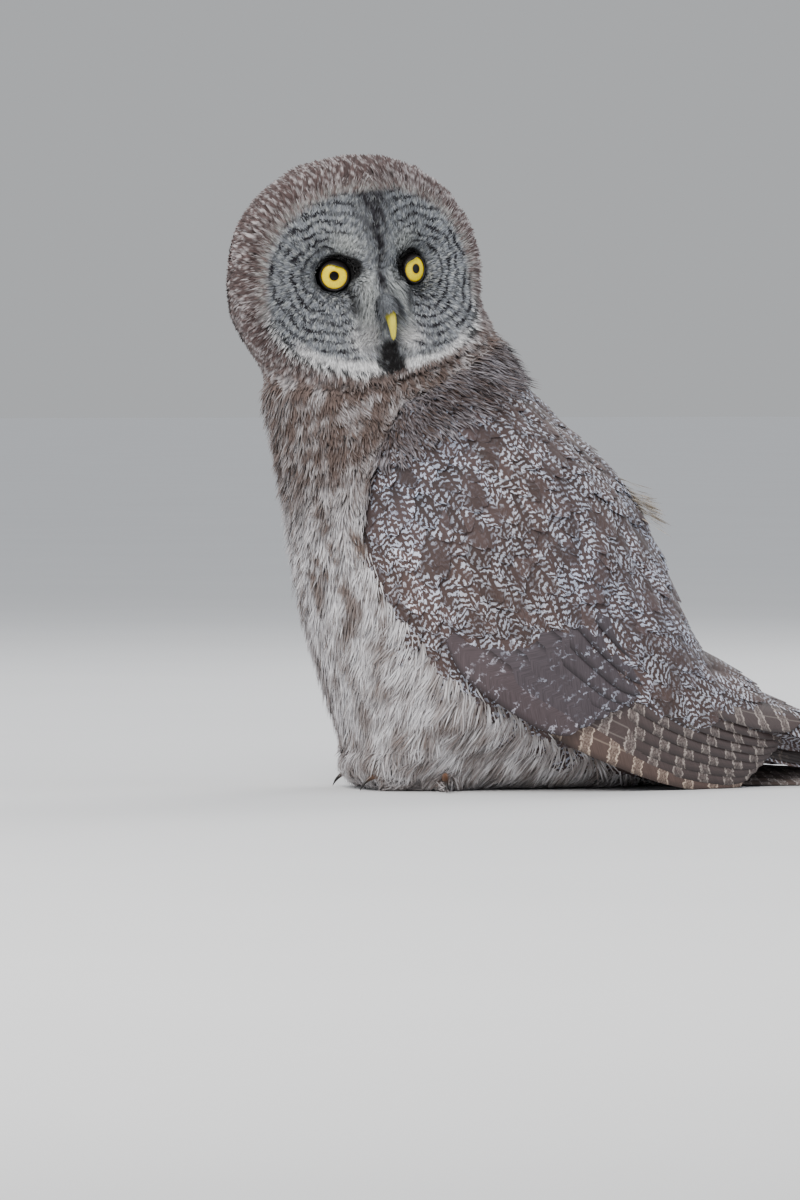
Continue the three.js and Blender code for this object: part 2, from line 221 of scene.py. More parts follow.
def regions(points):
    side, front, up = head_places(points)
    s, t, lean = body_places(points)
    radius = np.sqrt((side / 94) ** 2 + (np.minimum(up, 0) / 80 + np.maximum(up, 0) / 83) ** 2
                     + (front / 84) ** 2)
    head = 1 - smooth(radius, 1.04, 1.22)
    head = head * (1 - smooth(-up, 66, 84) * smooth(-front, -30, 0))
    disc = disc_distance(side, up)
    face = (1 - smooth(disc, 1.01, 1.045)) * smooth(front, -2, 8) * (head > 0.3)
    wing = smooth(t + wing_edge(s), -3, 6) * (s > -22) * (1 - head)
    mantle = (1 - smooth(np.abs(points[:, 0]), 10, 30)) * smooth(t, 20, 45) * (1 - head)
    return {
        "side": side, "front": front, "up": up, "s": s, "t": t, "lean": lean,
        "head": head, "face": face, "disc": disc, "wing": np.maximum(wing, mantle * (s > -30)),
    }


FACE_GREY = colour(143, 147, 153)
FACE_DARK = colour(44, 40, 47)
FACE_PALE = colour(206, 209, 206)
WHITE = colour(236, 235, 235)
BLACK = colour(14, 11, 12)
RIM_BROWN = colour(120, 104, 100)
CROWN_BROWN = colour(92, 76, 74)
NECK_BROWN = colour(112, 96, 90)
MANTLE_BROWN = colour(74, 60, 58)
BELLY_WHITE = colour(234, 231, 233)
BELLY_BROWN = colour(112, 91, 80)
SLATE = colour(76, 68, 72)
DUSK = colour(52, 42, 39)
RING_PERIOD = 6.4


def eye_polar(r):
    """Distance from the nearer eye, and the angle from its inner side up over its top."""
    inner = EYE_SIDE - np.abs(r["side"])
    above = r["up"] - EYE_UP
    return np.hypot(inner, above), np.arctan2(above, inner)


def white_crescent(r):
    """1 on the two white moustaches below the bill."""
    across = np.abs(r["side"]) + 2.2 * ripple(np.stack([r["side"], r["front"], r["up"]], 1), 5, 15)
    inner = 0.80 + 0.06 * smooth(across, 12, 55)
    band = smooth(r["disc"] - inner, 0.0, 0.05) * (1 - smooth(r["disc"], 0.935, 0.965))
    return band * plateau(across, 8, 12, 54, 66) * smooth(-r["up"], 40, 50)


def face_rings(points, r):
    """How far a place is from its eye, for the dark rings, and how strong they are there."""
    across = np.abs(r["side"])
    distance = np.hypot((across - 32) * 0.94, (r["up"] + 3) * 0.98)
    distance = distance + ripple(points, 16, 4) * 1.6 + ripple(points, 5, 8) * 0.9
    strength = smooth(distance, 14, 21) * r["face"] * (1 - white_crescent(r))
    strength = strength * (1 - smooth(r["disc"], 0.93, 1.0))
    strength = strength * smooth(across - 8 * smooth(-r["up"], 8, 24), 8, 17)
    brow = hill(across, 21, 9) * hill(r["up"], 20, 9)
    return distance, np.clip(strength * (1 - 0.8 * brow) * (0.86 + 0.55 * ripple(points, 6, 5)), 0, 1)


def face_colour(points, r):
    side, up, disc = r["side"], r["up"], r["disc"]
    across = np.abs(side)
    eye, turn = eye_polar(r)
    c = mixed(FACE_GREY, FACE_PALE, 0.55 * smooth(ripple(points, 3, 6), 0.0, 0.7))
    c = mixed(c, FACE_DARK, 0.45 * smooth(ripple(points, 3.2, 7), 0.15, 0.8))
    brow = hill(across, 22, 10) * hill(up - 0.25 * (across - 22), 19, 8)
    lore = hill(across + 0.12 * (up + 20), 12, 6) * plateau(-up, -4, 6, 36, 46)
    c = mixed(c, FACE_PALE, np.clip(brow + 0.8 * lore, 0, 1) * 0.85)
    beside_bill = hill(across, 16, 8) * hill(up, -49, 8)
    c = mixed(c, WHITE, np.clip(1.3 * beside_bill, 0, 0.95))
    midline = hill(side, 0, 3.6 + 0.22 * np.maximum(up - 6, 0)) * smooth(up, -26, -8)
    c = mixed(c, FACE_DARK * 0.6, np.clip(midline * (0.95 + 0.6 * ripple(points, 3.5, 9)), 0, 1))
    degrees = np.degrees(turn)
    thick = 0.6 + 6.6 * hill(degrees, 22, 36) + 2.6 * hill(degrees, 78, 26)
    patch = (1 - smooth(eye, 11.0 + thick, 13.4 + thick)) * plateau(degrees, -75, -50, 112, 140)
    drip = hill(across - 0.16 * (up + 14), 21.5, 2.3) * plateau(-up, 6, 12, 27, 36)
    lid = 1 - smooth(eye, 10.4, 11.4)
    c = mixed(c, BLACK, np.clip(patch + 0.8 * drip + lid, 0, 1))
    chin_width = 7.0 + 0.45 * np.maximum(-up - 50, 0)
    chin = hill(side + 3.6 * ripple(points, 4, 13), 0, chin_width, 4) * smooth(-up, 46, 52)
    c = mixed(c, BLACK, np.clip(chin * (1.05 + 0.3 * ripple(points, 3, 14)), 0, 1))
    crescent = white_crescent(r)
    c = mixed(c, WHITE, crescent * 0.97)
    edge = smooth(disc, 0.93, 0.965) * (1 - crescent)
    speckle = smooth(ripple(points, 2.6, 12), -0.25, 0.15)
    lower_rim = mixed(WHITE, BLACK, speckle)
    upper_rim = mixed(RIM_BROWN, FACE_PALE, 0.5 * speckle)
    return mixed(c, mixed(upper_rim, lower_rim, smooth(-up, 16, 34)), edge * 0.95)


def place_colour(points, r):
    """The colour of the plumage at a place, without the finest marks on each feather."""
    s, t = r["s"], r["t"]
    blotch = ripple(points, 16, 21)
    fine = ripple(points, 2.5, 22)
    stretched = points * np.array([1.0, 1.0, 0.48])
    patchy = 0.9 * ripple(stretched, 11, 23) + 0.5 * ripple(stretched, 4, 24)
    streak = 0.7 * ripple(stretched, 3.2, 33) + 0.5 * ripple(stretched, 12, 34)
    neck = mixed(NECK_BROWN, BELLY_WHITE, smooth(streak, -0.35, 0.7) * 0.5)
    dark = smooth(patchy, -0.05, 0.55) * (0.95 - 0.35 * smooth(s, 40, 150))
    belly = mixed(BELLY_WHITE, BELLY_BROWN, dark)
    low = smooth(s, 100, 180)
    bars = 0.5 + 0.5 * np.sin(2 * math.pi * (s - 0.35 * t + 9 * ripple(points, 22, 26)) / 17)
    belly = mixed(belly, BELLY_BROWN, low * 0.42 * smooth(bars, 0.45, 0.9))
    belly = mixed(belly, FACE_GREY, 0.35 * smooth(t, -110, -70) * (1 - low))
    throat = 1 - smooth(s, -10, 50)
    under = mixed(belly, neck, np.clip(throat, 0, 1))
    back = mixed(MANTLE_BROWN, colour(168, 164, 170),
                 np.clip(0.36 + 0.25 * blotch + 0.55 * ripple(points, 2.2, 27), 0, 0.9))
    c = mixed(under, back, r["wing"])
    crown = mixed(CROWN_BROWN, colour(205, 198, 198), smooth(fine + 0.25 * blotch, 0.1, 0.6) * 0.68)
    nape = mixed(crown, neck, 0.6 * smooth(-r["front"], -5, 35) * smooth(-r["up"], -10, 40))
    c = mixed(c, nape, r["head"])
    return mixed(c, face_colour(points, r), r["face"])


def lie(points, normals, r):
    """The direction in which the feathers lie, along the skin."""
    lean = r["lean"]
    body = np.stack([np.zeros(len(points)), np.sin(lean), -np.cos(lean)], 1)
    # over the breast the feathers follow its curve, and lower down they fall forwards over the feet
    fall = np.array([0.0, -0.42, -1.0])
    body = mixed(body, fall, np.clip(1 - r["wing"], 0, 1) * smooth(r["s"], 30, 120))
    across = np.abs(r["side"])
    eye_side = np.sign(r["side"]) * 33
    outward = np.stack([r["side"] - eye_side, np.zeros(len(points)), r["up"] + 2], 1)
    outward = unit(outward)
    # beside the bill the feathers fan up and out from the middle line
    inner = np.stack([np.sign(r["side"]) * 0.7, 0.2 * np.ones(len(points)),
                      0.25 + 0.5 * np.sign(r["up"])], 1)
    near_bill = (1 - smooth(across, 5, 16)) * (1 - smooth(np.abs(r["up"]), 30, 60))
    outward = unit(mixed(outward, inner, near_bill * 0.6))
    over = np.stack([0.25 * r["side"] / 90, np.ones(len(points)),
                     -0.35 - 0.5 * smooth(-r["front"], 0, 60)], 1)
    rim = smooth(r["disc"], 0.98, 1.25)
    head = mixed(outward, over, rim)
    head = head @ HEAD_AXES.T
    flow = mixed(body, head, r["head"])
    flow = flow - normals * np.sum(flow * normals, 1, keepdims=True)
    return unit(flow)


# Node materials

class Value:
    """A number carried by a material's nodes, with the usual sums."""

    def __init__(self, graph, socket):
        self.graph = graph
        self.socket = socket

    def __add__(self, other):
        return self.graph.maths("ADD", self, other)

    def __sub__(self, other):
        return self.graph.maths("SUBTRACT", self, other)

    def __rsub__(self, other):
        return self.graph.maths("SUBTRACT", other, self)

    def __mul__(self, other):
        return self.graph.maths("MULTIPLY", self, other)

    def __abs__(self):
        return self.graph.maths("ABSOLUTE", self)


class Graph:
    """Short names for making nodes. A colour is an array of three or a node's socket."""

    def __init__(self, owner):
        owner.use_nodes = True
        self.owner = owner
        self.nodes = owner.node_tree.nodes
        self.links = owner.node_tree.links

    def put(self, socket, value):
        value = getattr(value, "socket", value)
        if isinstance(value, bpy.types.NodeSocket):
            self.links.new(value, socket)
        elif isinstance(value, np.ndarray):
            socket.default_value = (*value.tolist(), 1.0)
        else:
            socket.default_value = value

    def maths(self, operation, a, b=0.0):
        node = self.nodes.new("ShaderNodeMath")
        node.operation = operation
        self.put(node.inputs[0], a)
        self.put(node.inputs[1], b)
        return Value(self, node.outputs[0])

    def mix(self, amount, a, b, blend="MIX"):
        node = self.nodes.new("ShaderNodeMix")
        node.data_type = "RGBA"
        node.blend_type = blend
        self.put(node.inputs["Factor"], amount)
        self.put(node.inputs["A"], a)
        self.put(node.inputs["B"], b)
        return node.outputs["Result"]

    def times(self, a, b):
        """One colour multiplied by another."""
        return self.mix(1.0, a, b, "MULTIPLY")

    def ramp(self, value, low, high, kind="SMOOTHSTEP"):
        node = self.nodes.new("ShaderNodeMapRange")
        node.interpolation_type = kind
        self.put(node.inputs["Value"], value)
        node.inputs["From Min"].default_value = low
        node.inputs["From Max"].default_value = high
        return Value(self, node.outputs["Result"])

    def blend(self, value, low, high, a, b):
        """From colour a to colour b as the value goes from low to high."""
        return self.mix(self.ramp(value, low, high), a, b)

    def attribute(self, name, output="Fac"):
        node = self.nodes.new("ShaderNodeAttribute")
        node.attribute_name = name
        return Value(self, node.outputs[output])

    def place(self, kind="Object"):
        return self.nodes.new("ShaderNodeTexCoord").outputs[kind]

    def noise(self, vector, scale, detail=2.0, roughness=0.5):
        node = self.nodes.new("ShaderNodeTexNoise")
        self.put(node.inputs["Vector"], vector)
        node.inputs["Scale"].default_value = scale
        node.inputs["Detail"].default_value = detail
        node.inputs["Roughness"].default_value = roughness
        return Value(self, node.outputs["Fac"])

    def vector(self, x, y, z):
        node = self.nodes.new("ShaderNodeCombineXYZ")
        for socket, value in zip(node.inputs, (x, y, z)):
            self.put(socket, value)
        return node.outputs[0]

    def bump(self, height, strength, distance):
        node = self.nodes.new("ShaderNodeBump")
        self.put(node.inputs["Height"], height)
        node.inputs["Strength"].default_value = strength
        node.inputs["Distance"].default_value = distance
        return node.outputs[0]

    def finish(self, base, roughness, normal=None, **fixed):
        sockets = self.nodes["Principled BSDF"].inputs
        self.put(sockets["Base Color"], base)
        self.put(sockets["Roughness"], roughness)
        if normal is not None:
            self.put(sockets["Normal"], normal)
        for name, value in fixed.items():
            sockets[name.replace("_", " ")].default_value = value
        return self.owner


def new_material(name):
    return Graph(bpy.data.materials.new(name))


def feather_places(g):
    """Across, along (in millimetres) and a random number for the feather in hand."""
    split = g.nodes.new("ShaderNodeSeparateXYZ")
    g.put(split.inputs[0], g.attribute("vane", "Vector"))
    return [Value(g, output) for output in split.outputs]


def barbs(g, across, along, seed):
    """Fine slanting lines, as barbs make on a vane."""
    return g.noise(g.vector(along - abs(across) * 0.9, across * 0.06, seed), 1.5)


def ringed(g, tint):
    """Darkens a colour in rings by the ring distance and its strength."""
    wave = g.maths("COSINE", g.attribute("ring") * (2 * math.pi / RING_PERIOD))
    dark = g.ramp(wave, 0.0, 0.85) * g.attribute("bar")
    return g.mix(dark, tint, g.times(tint, colour(70, 64, 72)))


def hair_material(name):
    """Loose fine feathers that carry their colour from where they grow."""
    g = new_material(name)
    across, along, seed = feather_places(g)
    tint = ringed(g, g.attribute("Col", "Color"))
    lines = g.noise(g.vector(across * 2.2, along * 0.12, seed), 1.0, 3.0)
    base = g.times(tint, g.blend(lines, 0.25, 0.75, grey(0.62), grey(1.0)))
    return g.finish(base, 0.85, g.bump(lines, 0.25, 0.0004), Specular_IOR_Level=0.25,
                    Sheen_Weight=0.08, Sheen_Roughness=0.5)


def barred_material(name, ground, pale, period, cover, shaft, wobble):
    """A vane with wavy pale bars over a darker ground, and a dark shaft streak."""
    g = new_material(name)
    across, along, seed = feather_places(g)
    warp = g.noise(g.vector(across * 0.22, along * 0.16, seed), 1.0, 3.0, 0.6)
    tilt = across * (g.maths("SINE", seed * 5.0) * 0.5)
    bow = abs(across) * -0.12
    bent = (along + (tilt + bow)) + ((warp - 0.5) * (wobble * period) + seed * 7.3)
    wave = g.maths("SINE", bent * (2 * math.pi / period))
    broken = g.noise(g.vector(across * 0.6, along * 0.5, seed), 1.0, 3.0)
    mark = wave + (broken - 0.5) * 3.4
    white = g.ramp(mark, 0.9 - 2 * cover, 1.35 - 2 * cover) * 0.92
    streak = g.noise(g.vector(seed, along * 0.12, seed), 1.0, 1.0) * (2.0 * shaft)
    off_shaft = g.ramp(abs(across) - streak, -0.4, 0.5)
    white = white * off_shaft * 0.9 * g.attribute("bar")
    lines = barbs(g, across, along, seed)
    dark = g.blend(lines, 0.3, 0.7, ground * 0.75, ground * 1.15)
    light = g.blend(lines, 0.3, 0.7, pale * 0.8, pale)
    base = g.times(g.mix(white, dark, light), g.attribute("Col", "Color"))
    return g.finish(base, 0.72, g.bump(lines, 0.3, 0.0003), Specular_IOR_Level=0.3,
                    Sheen_Weight=0.1, Sheen_Roughness=0.4)


def quill_material(name, ground, pale, period, pale_share):
    """A long stiff flight feather: broad dark bars between narrow mottled ones with white edges."""
    g = new_material(name)
    across, along, seed = feather_places(g)
    warp = (g.noise(g.vector(across * 0.3, along * 0.2, seed), 1.0, 3.0) - 0.5) * 6.5
    shift = g.maths("SINE", seed * 2.9) * 4.5
    bent = along + (warp + (shift + across * 0.25))
    cycle = g.maths("SINE", bent * (2 * math.pi / period))
    speckle = g.noise(g.vector(across * 0.7, along * 0.9, seed), 0.9, 3.0, 0.7)
    turn = 1.0 - 2 * pale_share
    marked = g.attribute("bar")
    band = g.ramp(cycle, turn, turn + 0.2)
    edge = (1.0 - g.ramp(abs(cycle - turn), 0.05, 0.26)) * g.ramp(speckle, 0.34, 0.52)
    lines = barbs(g, across, along, seed)
    dark = g.blend(lines, 0.3, 0.7, ground * 0.82, ground * 1.12)
    middle = g.blend(speckle, 0.4, 0.62, ground * 1.15, ground * 0.55 + pale * 0.38)
    vane = g.mix(band * marked, dark, middle)
    vane = g.mix(edge * marked, vane, pale)
    shaft = 1.0 - g.ramp(abs(across), 0.35, 0.75)
    vane = g.mix(shaft * 0.45, vane, pale * 0.55)
    base = g.times(vane, g.attribute("Col", "Color"))
    return g.finish(base, 0.55, g.bump(lines, 0.35, 0.0003), Specular_IOR_Level=0.4)


def skin_material():
    g = new_material("plumage_ground")
    tint = ringed(g, g.attribute("Col", "Color"))
    fluff = g.noise(g.place(), 420.0, 4.0, 0.6)
    base = g.times(tint, g.blend(fluff, 0.3, 0.7, grey(0.45), grey(0.8)))
    return g.finish(base, 0.9, g.bump(fluff, 0.8, 0.001), Specular_IOR_Level=0.1)


def eye_material(name):
    """Rings of colour round the eye's own axis, which is the mesh's vane attribute."""
    g = new_material(name)
    radius, turn, _ = feather_places(g)
    spokes = g.vector(g.maths("SINE", turn) * 9.0, g.maths("COSINE", turn) * 9.0, radius * 0.5)
    yellow = g.blend(g.noise(spokes, 1.0, 3.0), 0.3, 0.7, colour(234, 204, 0), colour(246, 226, 0))
    iris = g.blend(radius, 3.6, 4.8, colour(214, 176, 0), yellow)
    iris = g.blend(radius, 7.6, 8.9, iris, colour(196, 160, 14))
    pupil = g.blend(radius, 3.25, 3.55, colour(2, 2, 3), iris)
    base = g.blend(radius, 8.75, 9.15, pupil, colour(10, 8, 8))
    return g.finish(base, 0.3, Specular_IOR_Level=0.1, Coat_Weight=0.15, Coat_Roughness=0.03)


def horn_material(name, base_colour, tip_colour, roughness):
    """Horn that darkens or yellows towards its tip and has faint growth lines."""
    g = new_material(name)
    across, along, seed = feather_places(g)
    growth = g.noise(g.vector(across * 0.3, along * 8.0, seed), 1.0, 3.0)
    horn = g.blend(along, 0.25, 0.8, base_colour, tip_colour)
    base = g.blend(growth, 0.35, 0.75, horn, g.mix(0.22, horn, BLACK))
    return g.finish(base, roughness, g.bump(growth, 0.15, 0.0004), Specular_IOR_Level=0.5)


def lid_material():
    g = new_material("lid")
    grain = g.noise(g.place(), 1500.0, 3.0)
    base = g.blend(grain, 0.3, 0.7, colour(12, 9, 9), colour(34, 27, 27))
    return g.finish(base, 0.45, g.bump(grain, 0.4, 0.0004), Specular_IOR_Level=0.5)


# Meshes from arrays

def add_layers(mesh, tint, numbers):
    """Stores a colour and some named numbers for each vertex."""
    if tint is not None:
        layer = mesh.color_attributes.new("Col", "FLOAT_COLOR", "POINT")
        opaque = np.concatenate([tint, np.ones((len(tint), 1))], 1)
        layer.data.foreach_set("color", opaque.astype(np.float32).ravel())
    for title, values in numbers.items():
        if values is not None:
            layer = mesh.attributes.new(title, "FLOAT", "POINT")
            layer.data.foreach_set("value", np.asarray(values, np.float32))


def make_mesh(name, verts, faces, material, vane=None, tint=None, bar=None, bake=None, ring=None):
    """faces is an array of quads; a quad whose last corner repeats its third is a triangle."""
    mesh = bpy.data.meshes.new(name)
    faces = np.asarray(faces, np.int32)
    three = faces[:, 2] == faces[:, 3]
    sizes = np.where(three, 3, 4)
    loops = faces.ravel()[~np.stack([np.zeros_like(three)] * 3 + [three], 1).ravel()]
    mesh.vertices.add(len(verts))
    mesh.vertices.foreach_set("co", np.asarray(verts, np.float32).ravel())
    mesh.loops.add(len(loops))
    mesh.loops.foreach_set("vertex_index", loops)
    mesh.polygons.add(len(faces))
    mesh.polygons.foreach_set("loop_start", np.concatenate([[0], np.cumsum(sizes)[:-1]]).astype(np.int32))
    mesh.update(calc_edges=True)
    mesh.polygons.foreach_set("use_smooth", np.ones(len(faces), bool))
    if vane is not None:
        layer = mesh.attributes.new("vane", "FLOAT_VECTOR", "POINT")
        layer.data.foreach_set("vector", np.asarray(vane, np.float32).ravel())
    add_layers(mesh, tint, {"bar": bar, "ring": ring})
    if bake is not None:
        layer = mesh.uv_layers.new(name="OFBake")
        layer.data.foreach_set("uv", np.asarray(bake, np.float32)[loops].ravel())
    mesh.materials.append(material)
    piece = bpy.data.objects.new(name, mesh)
    bpy.context.scene.collection.objects.link(piece)
    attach(piece, "root")
    return piece


def unwrapped(points):
    """A place from 0 to 1 for each point on an unwrap of the owl's own shape:
    the head round its own axis above, the body round the body line below."""
    r = regions(points)
    s, t = r["s"], r["t"]
    round_body = np.arctan2(points[:, 0], -(t + 25)) / (2 * math.pi) + 0.5
    down_body = np.clip((s + 110) / 600, 0, 1)
    distance = np.sqrt(r["side"] ** 2 + r["front"] ** 2 + r["up"] ** 2)
    reach = np.arccos(np.clip(r["front"] / distance, -1, 1))
    turn = np.arctan2(r["up"], r["side"])
    head_u = 0.5 + 0.5 * reach / math.pi * np.cos(turn)
    head_v = 0.5 + 0.5 * reach / math.pi * np.sin(turn)
    on_the_head = r["head"] > 0.5
    u = np.where(on_the_head, head_u, round_body)
    v = np.where(on_the_head, 0.5 + 0.5 * head_v, 0.5 * (1 - down_body))
    return np.stack([u, v], 1)


def strips(centre, side, normal, width, cup, columns):
    """Joined vanes. centre, side and normal are (feather, row, 3) and width is (feather, row).
    Returns the vertices, faces, and each vertex's place across its vane from -1 to 1."""
    count, rows = width.shape
    across = np.linspace(-1, 1, columns)
    offset = width[:, :, None] * across[None, None, :]
    sag = -cup * width[:, :, None] * (np.abs(across) ** 2)[None, None, :]
    verts = (centre[:, :, None, :] + side[:, :, None, :] * offset[..., None]
             + normal[:, :, None, :] * sag[..., None])
    grid = np.arange(rows * columns).reshape(rows, columns)
    quads = np.stack([grid[:-1, :-1], grid[:-1, 1:], grid[1:, 1:], grid[1:, :-1]], -1).reshape(-1, 4)
    faces = (quads[None] + (np.arange(count) * rows * columns)[:, None, None]).reshape(-1, 4)
    return verts.reshape(-1, 3), faces, np.broadcast_to(across, (count, rows, columns)).reshape(-1)


def vertex_rows(values, columns):
    """Repeats a (feather, row) value for each vertex across the vane."""
    return np.repeat(values.reshape(-1), columns)


# Skin: one closed surface under the feathers, in place of the solids of flesh

def flesh_skin():
    names = ["head", "neck", "trunk", "wing_left", "wing_right", "leg_left", "leg_right",
             "foot_left", "foot_right", "bill_upper"]
    copies = []
    for name in names:
        copy = frame["nodes"][name].copy()
        copy.data = copy.data.copy()
        copy.parent = None
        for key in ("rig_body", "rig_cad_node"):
            if key in copy:
                del copy[key]
        bpy.context.scene.collection.objects.link(copy)
        copies.append(copy)
    bpy.ops.object.select_all(action="DESELECT")
    for copy in copies:
        copy.select_set(True)
    bpy.context.view_layer.objects.active = copies[0]
    bpy.ops.object.join()
    skin = bpy.context.view_layer.objects.active
    skin.name = "skin"
    skin.data.name = "skin"
    remesh = skin.modifiers.new("remesh", "REMESH")
    remesh.mode = "VOXEL"
    remesh.voxel_size = 0.0034
    bpy.ops.object.modifier_apply(modifier="remesh")
    easing = skin.modifiers.new("easing", "SMOOTH")
    easing.factor = 0.5
    easing.iterations = 34
    bpy.ops.object.modifier_apply(modifier="easing")
    return skin


def arrays_of(piece):
    mesh = piece.data
    points = np.empty(len(mesh.vertices) * 3, np.float32)
    mesh.vertices.foreach_get("co", points)
    normals = np.empty(len(mesh.vertices) * 3, np.float32)
    mesh.vertex_normals.foreach_get("vector", normals)
    mesh.calc_loop_triangles()
    triangles = np.empty(len(mesh.loop_triangles) * 3, np.int32)
    mesh.loop_triangles.foreach_get("vertices", triangles)
    points, normals = (rows.reshape(-1, 3).astype(float) for rows in (points, normals))
    return points, normals, triangles.reshape(-1, 3)


def coat_depth(r, points):
    """How far the skin lies inside the outline of the feathers, in millimetres."""
    depth = 7.0 + 2.0 * (1 - r["wing"])
    depth = depth * (1 - r["head"]) + 5.5 * r["head"]
    depth = depth * (1 - r["face"]) + 2.6 * r["face"]
    foot = 1 - smooth(points[:, 2], 14, 26)
    return depth * (1 - foot) + 2.0 * foot


def bill_line(t):
    """Middle line of the upper bill, in millimetres, and its half width and depth."""
    angle = np.radians(14 + 89 * t)
    places = np.array([on_head(0, BILL_FRONT + BILL_ARC * math.sin(a), BILL_UP + BILL_ARC * math.cos(a))
                       for a in angle])
    closing = np.sqrt(np.clip((1 - t) / 0.06, 0, 1))
    fullness = 0.35 + 0.65 * smooth(t, 0, 0.42)
    wide = (5.6 - 4.5 * t ** 1.6) * fullness * closing + 0.05
    deep = (7.2 - 6.0 * t ** 1.4) * fullness * closing + 0.05
    return places, wide, deep


def along_bill(points):
    """For each point: the nearest share of the bill's length, and how far off its middle line."""
    t = np.linspace(0, 1, 30)
    line, _, _ = bill_line(t)
    distance = np.linalg.norm(points[:, None] - line[None], axis=2)
    nearest_step = distance.argmin(1)
    return t[nearest_step], distance.min(1), line[nearest_step]


def inside_bill(points):
    """Draws the skin in under the part of the bill that is bare."""
    share, off, line = along_bill(points)
    pull = 0.62 * smooth(share, 0.25, 0.5) * (1 - smooth(off, 7, 12))
    return points + (line - points) * pull[:, None]


skin = flesh_skin()
skin_points, skin_normals, skin_triangles = arrays_of(skin)
skin_mm = to_mm(skin_points)
skin_r = regions(skin_mm)
skin_mm = skin_mm - skin_normals * coat_depth(skin_r, skin_mm)[:, None]
skin_mm = inside_bill(skin_mm)
skin_points = to_world(skin_mm)
skin.data.vertices.foreach_set("co", skin_points.astype(np.float32).ravel())
skin.data.update()
skin_r = regions(skin_mm)
add_layers(skin.data, place_colour(skin_mm, skin_r), dict(zip(("ring", "bar"), face_rings(skin_mm, skin_r))))
skin.data.materials.clear()
skin.data.materials.append(skin_material())
skin.data.polygons.foreach_set("use_smooth", np.ones(len(skin.data.polygons), bool))
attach(skin, "root")
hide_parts("head", "neck", "trunk", "wing_left", "wing_right", "leg_left", "leg_right",
            "foot_left", "foot_right")
surface = BVHTree.FromPolygons(skin_mm.tolist(), skin_triangles.tolist())


# Roots: places on the skin where feathers grow

corners = skin_mm[skin_triangles]
areas = np.linalg.norm(np.cross(corners[:, 1] - corners[:, 0], corners[:, 2] - corners[:, 0]), axis=1) / 2


def scatter(spacing, keep, seed):
    """Points about this far apart, in millimetres, where keep(places) is over a random number."""
    random = np.random.default_rng(seed)
    per_point = spacing * spacing * 0.72
    count = int(areas.sum() / per_point * 1.9)
    chosen = random.choice(len(areas), count, p=areas / areas.sum())
    a, b = random.random(count), random.random(count)
    flip = a + b > 1
    a, b = np.where(flip, 1 - a, a), np.where(flip, 1 - b, b)
    c = corners[chosen]
    points = c[:, 0] + (c[:, 1] - c[:, 0]) * a[:, None] + (c[:, 2] - c[:, 0]) * b[:, None]
    normals = unit(np.cross(c[:, 1] - c[:, 0], c[:, 2] - c[:, 0]))
    r = regions(points)
    wanted = keep(points, r) > random.random(count)
    points, normals = points[wanted], normals[wanted]
    cells = np.floor(points / (spacing * 0.78)).astype(int)
    _, first = np.unique(cells, axis=0, return_index=True)
    first.sort()
    points, normals = points[first], normals[first]
    return points, normals, regions(points)


def nearest(points):
    """The nearest place on the skin and its normal."""
    places = np.empty_like(points)
    normals = np.empty_like(points)
    for i, p in enumerate(points):
        place, normal, _, _ = surface.find_nearest(Vector(p))
        places[i] = place
        normals[i] = normal
    return places, normals


def laid(points, flow, length, rows, lift_root, lift_tip, follow, curl):
    """Centre lines that run along the skin. Returns (feather, row, 3) places and normals."""
    shares = np.linspace(0, 1, rows)
    centre = np.empty((len(points), rows, 3))
    normal = np.empty((len(points), rows, 3))
    place, up = nearest(points)
    heading = flow
    centre[:, 0] = place + up * lift_root[:, None]
    normal[:, 0] = up
    for k in range(1, rows):
        step = (length * (shares[k] - shares[k - 1]))[:, None]
        if follow:
            place, up_next = nearest(place + heading * step)
            up = unit(up * 0.35 + up_next * 0.65)
            heading = unit(heading - up * np.sum(heading * up, 1, keepdims=True))
        else:
            place = place + heading * step
        rise = lift_root + (lift_tip - lift_root) * shares[k] ** 0.8 + curl * length * shares[k] ** 2
        centre[:, k] = place + up * rise[:, None]
        normal[:, k] = up
    return centre, normal


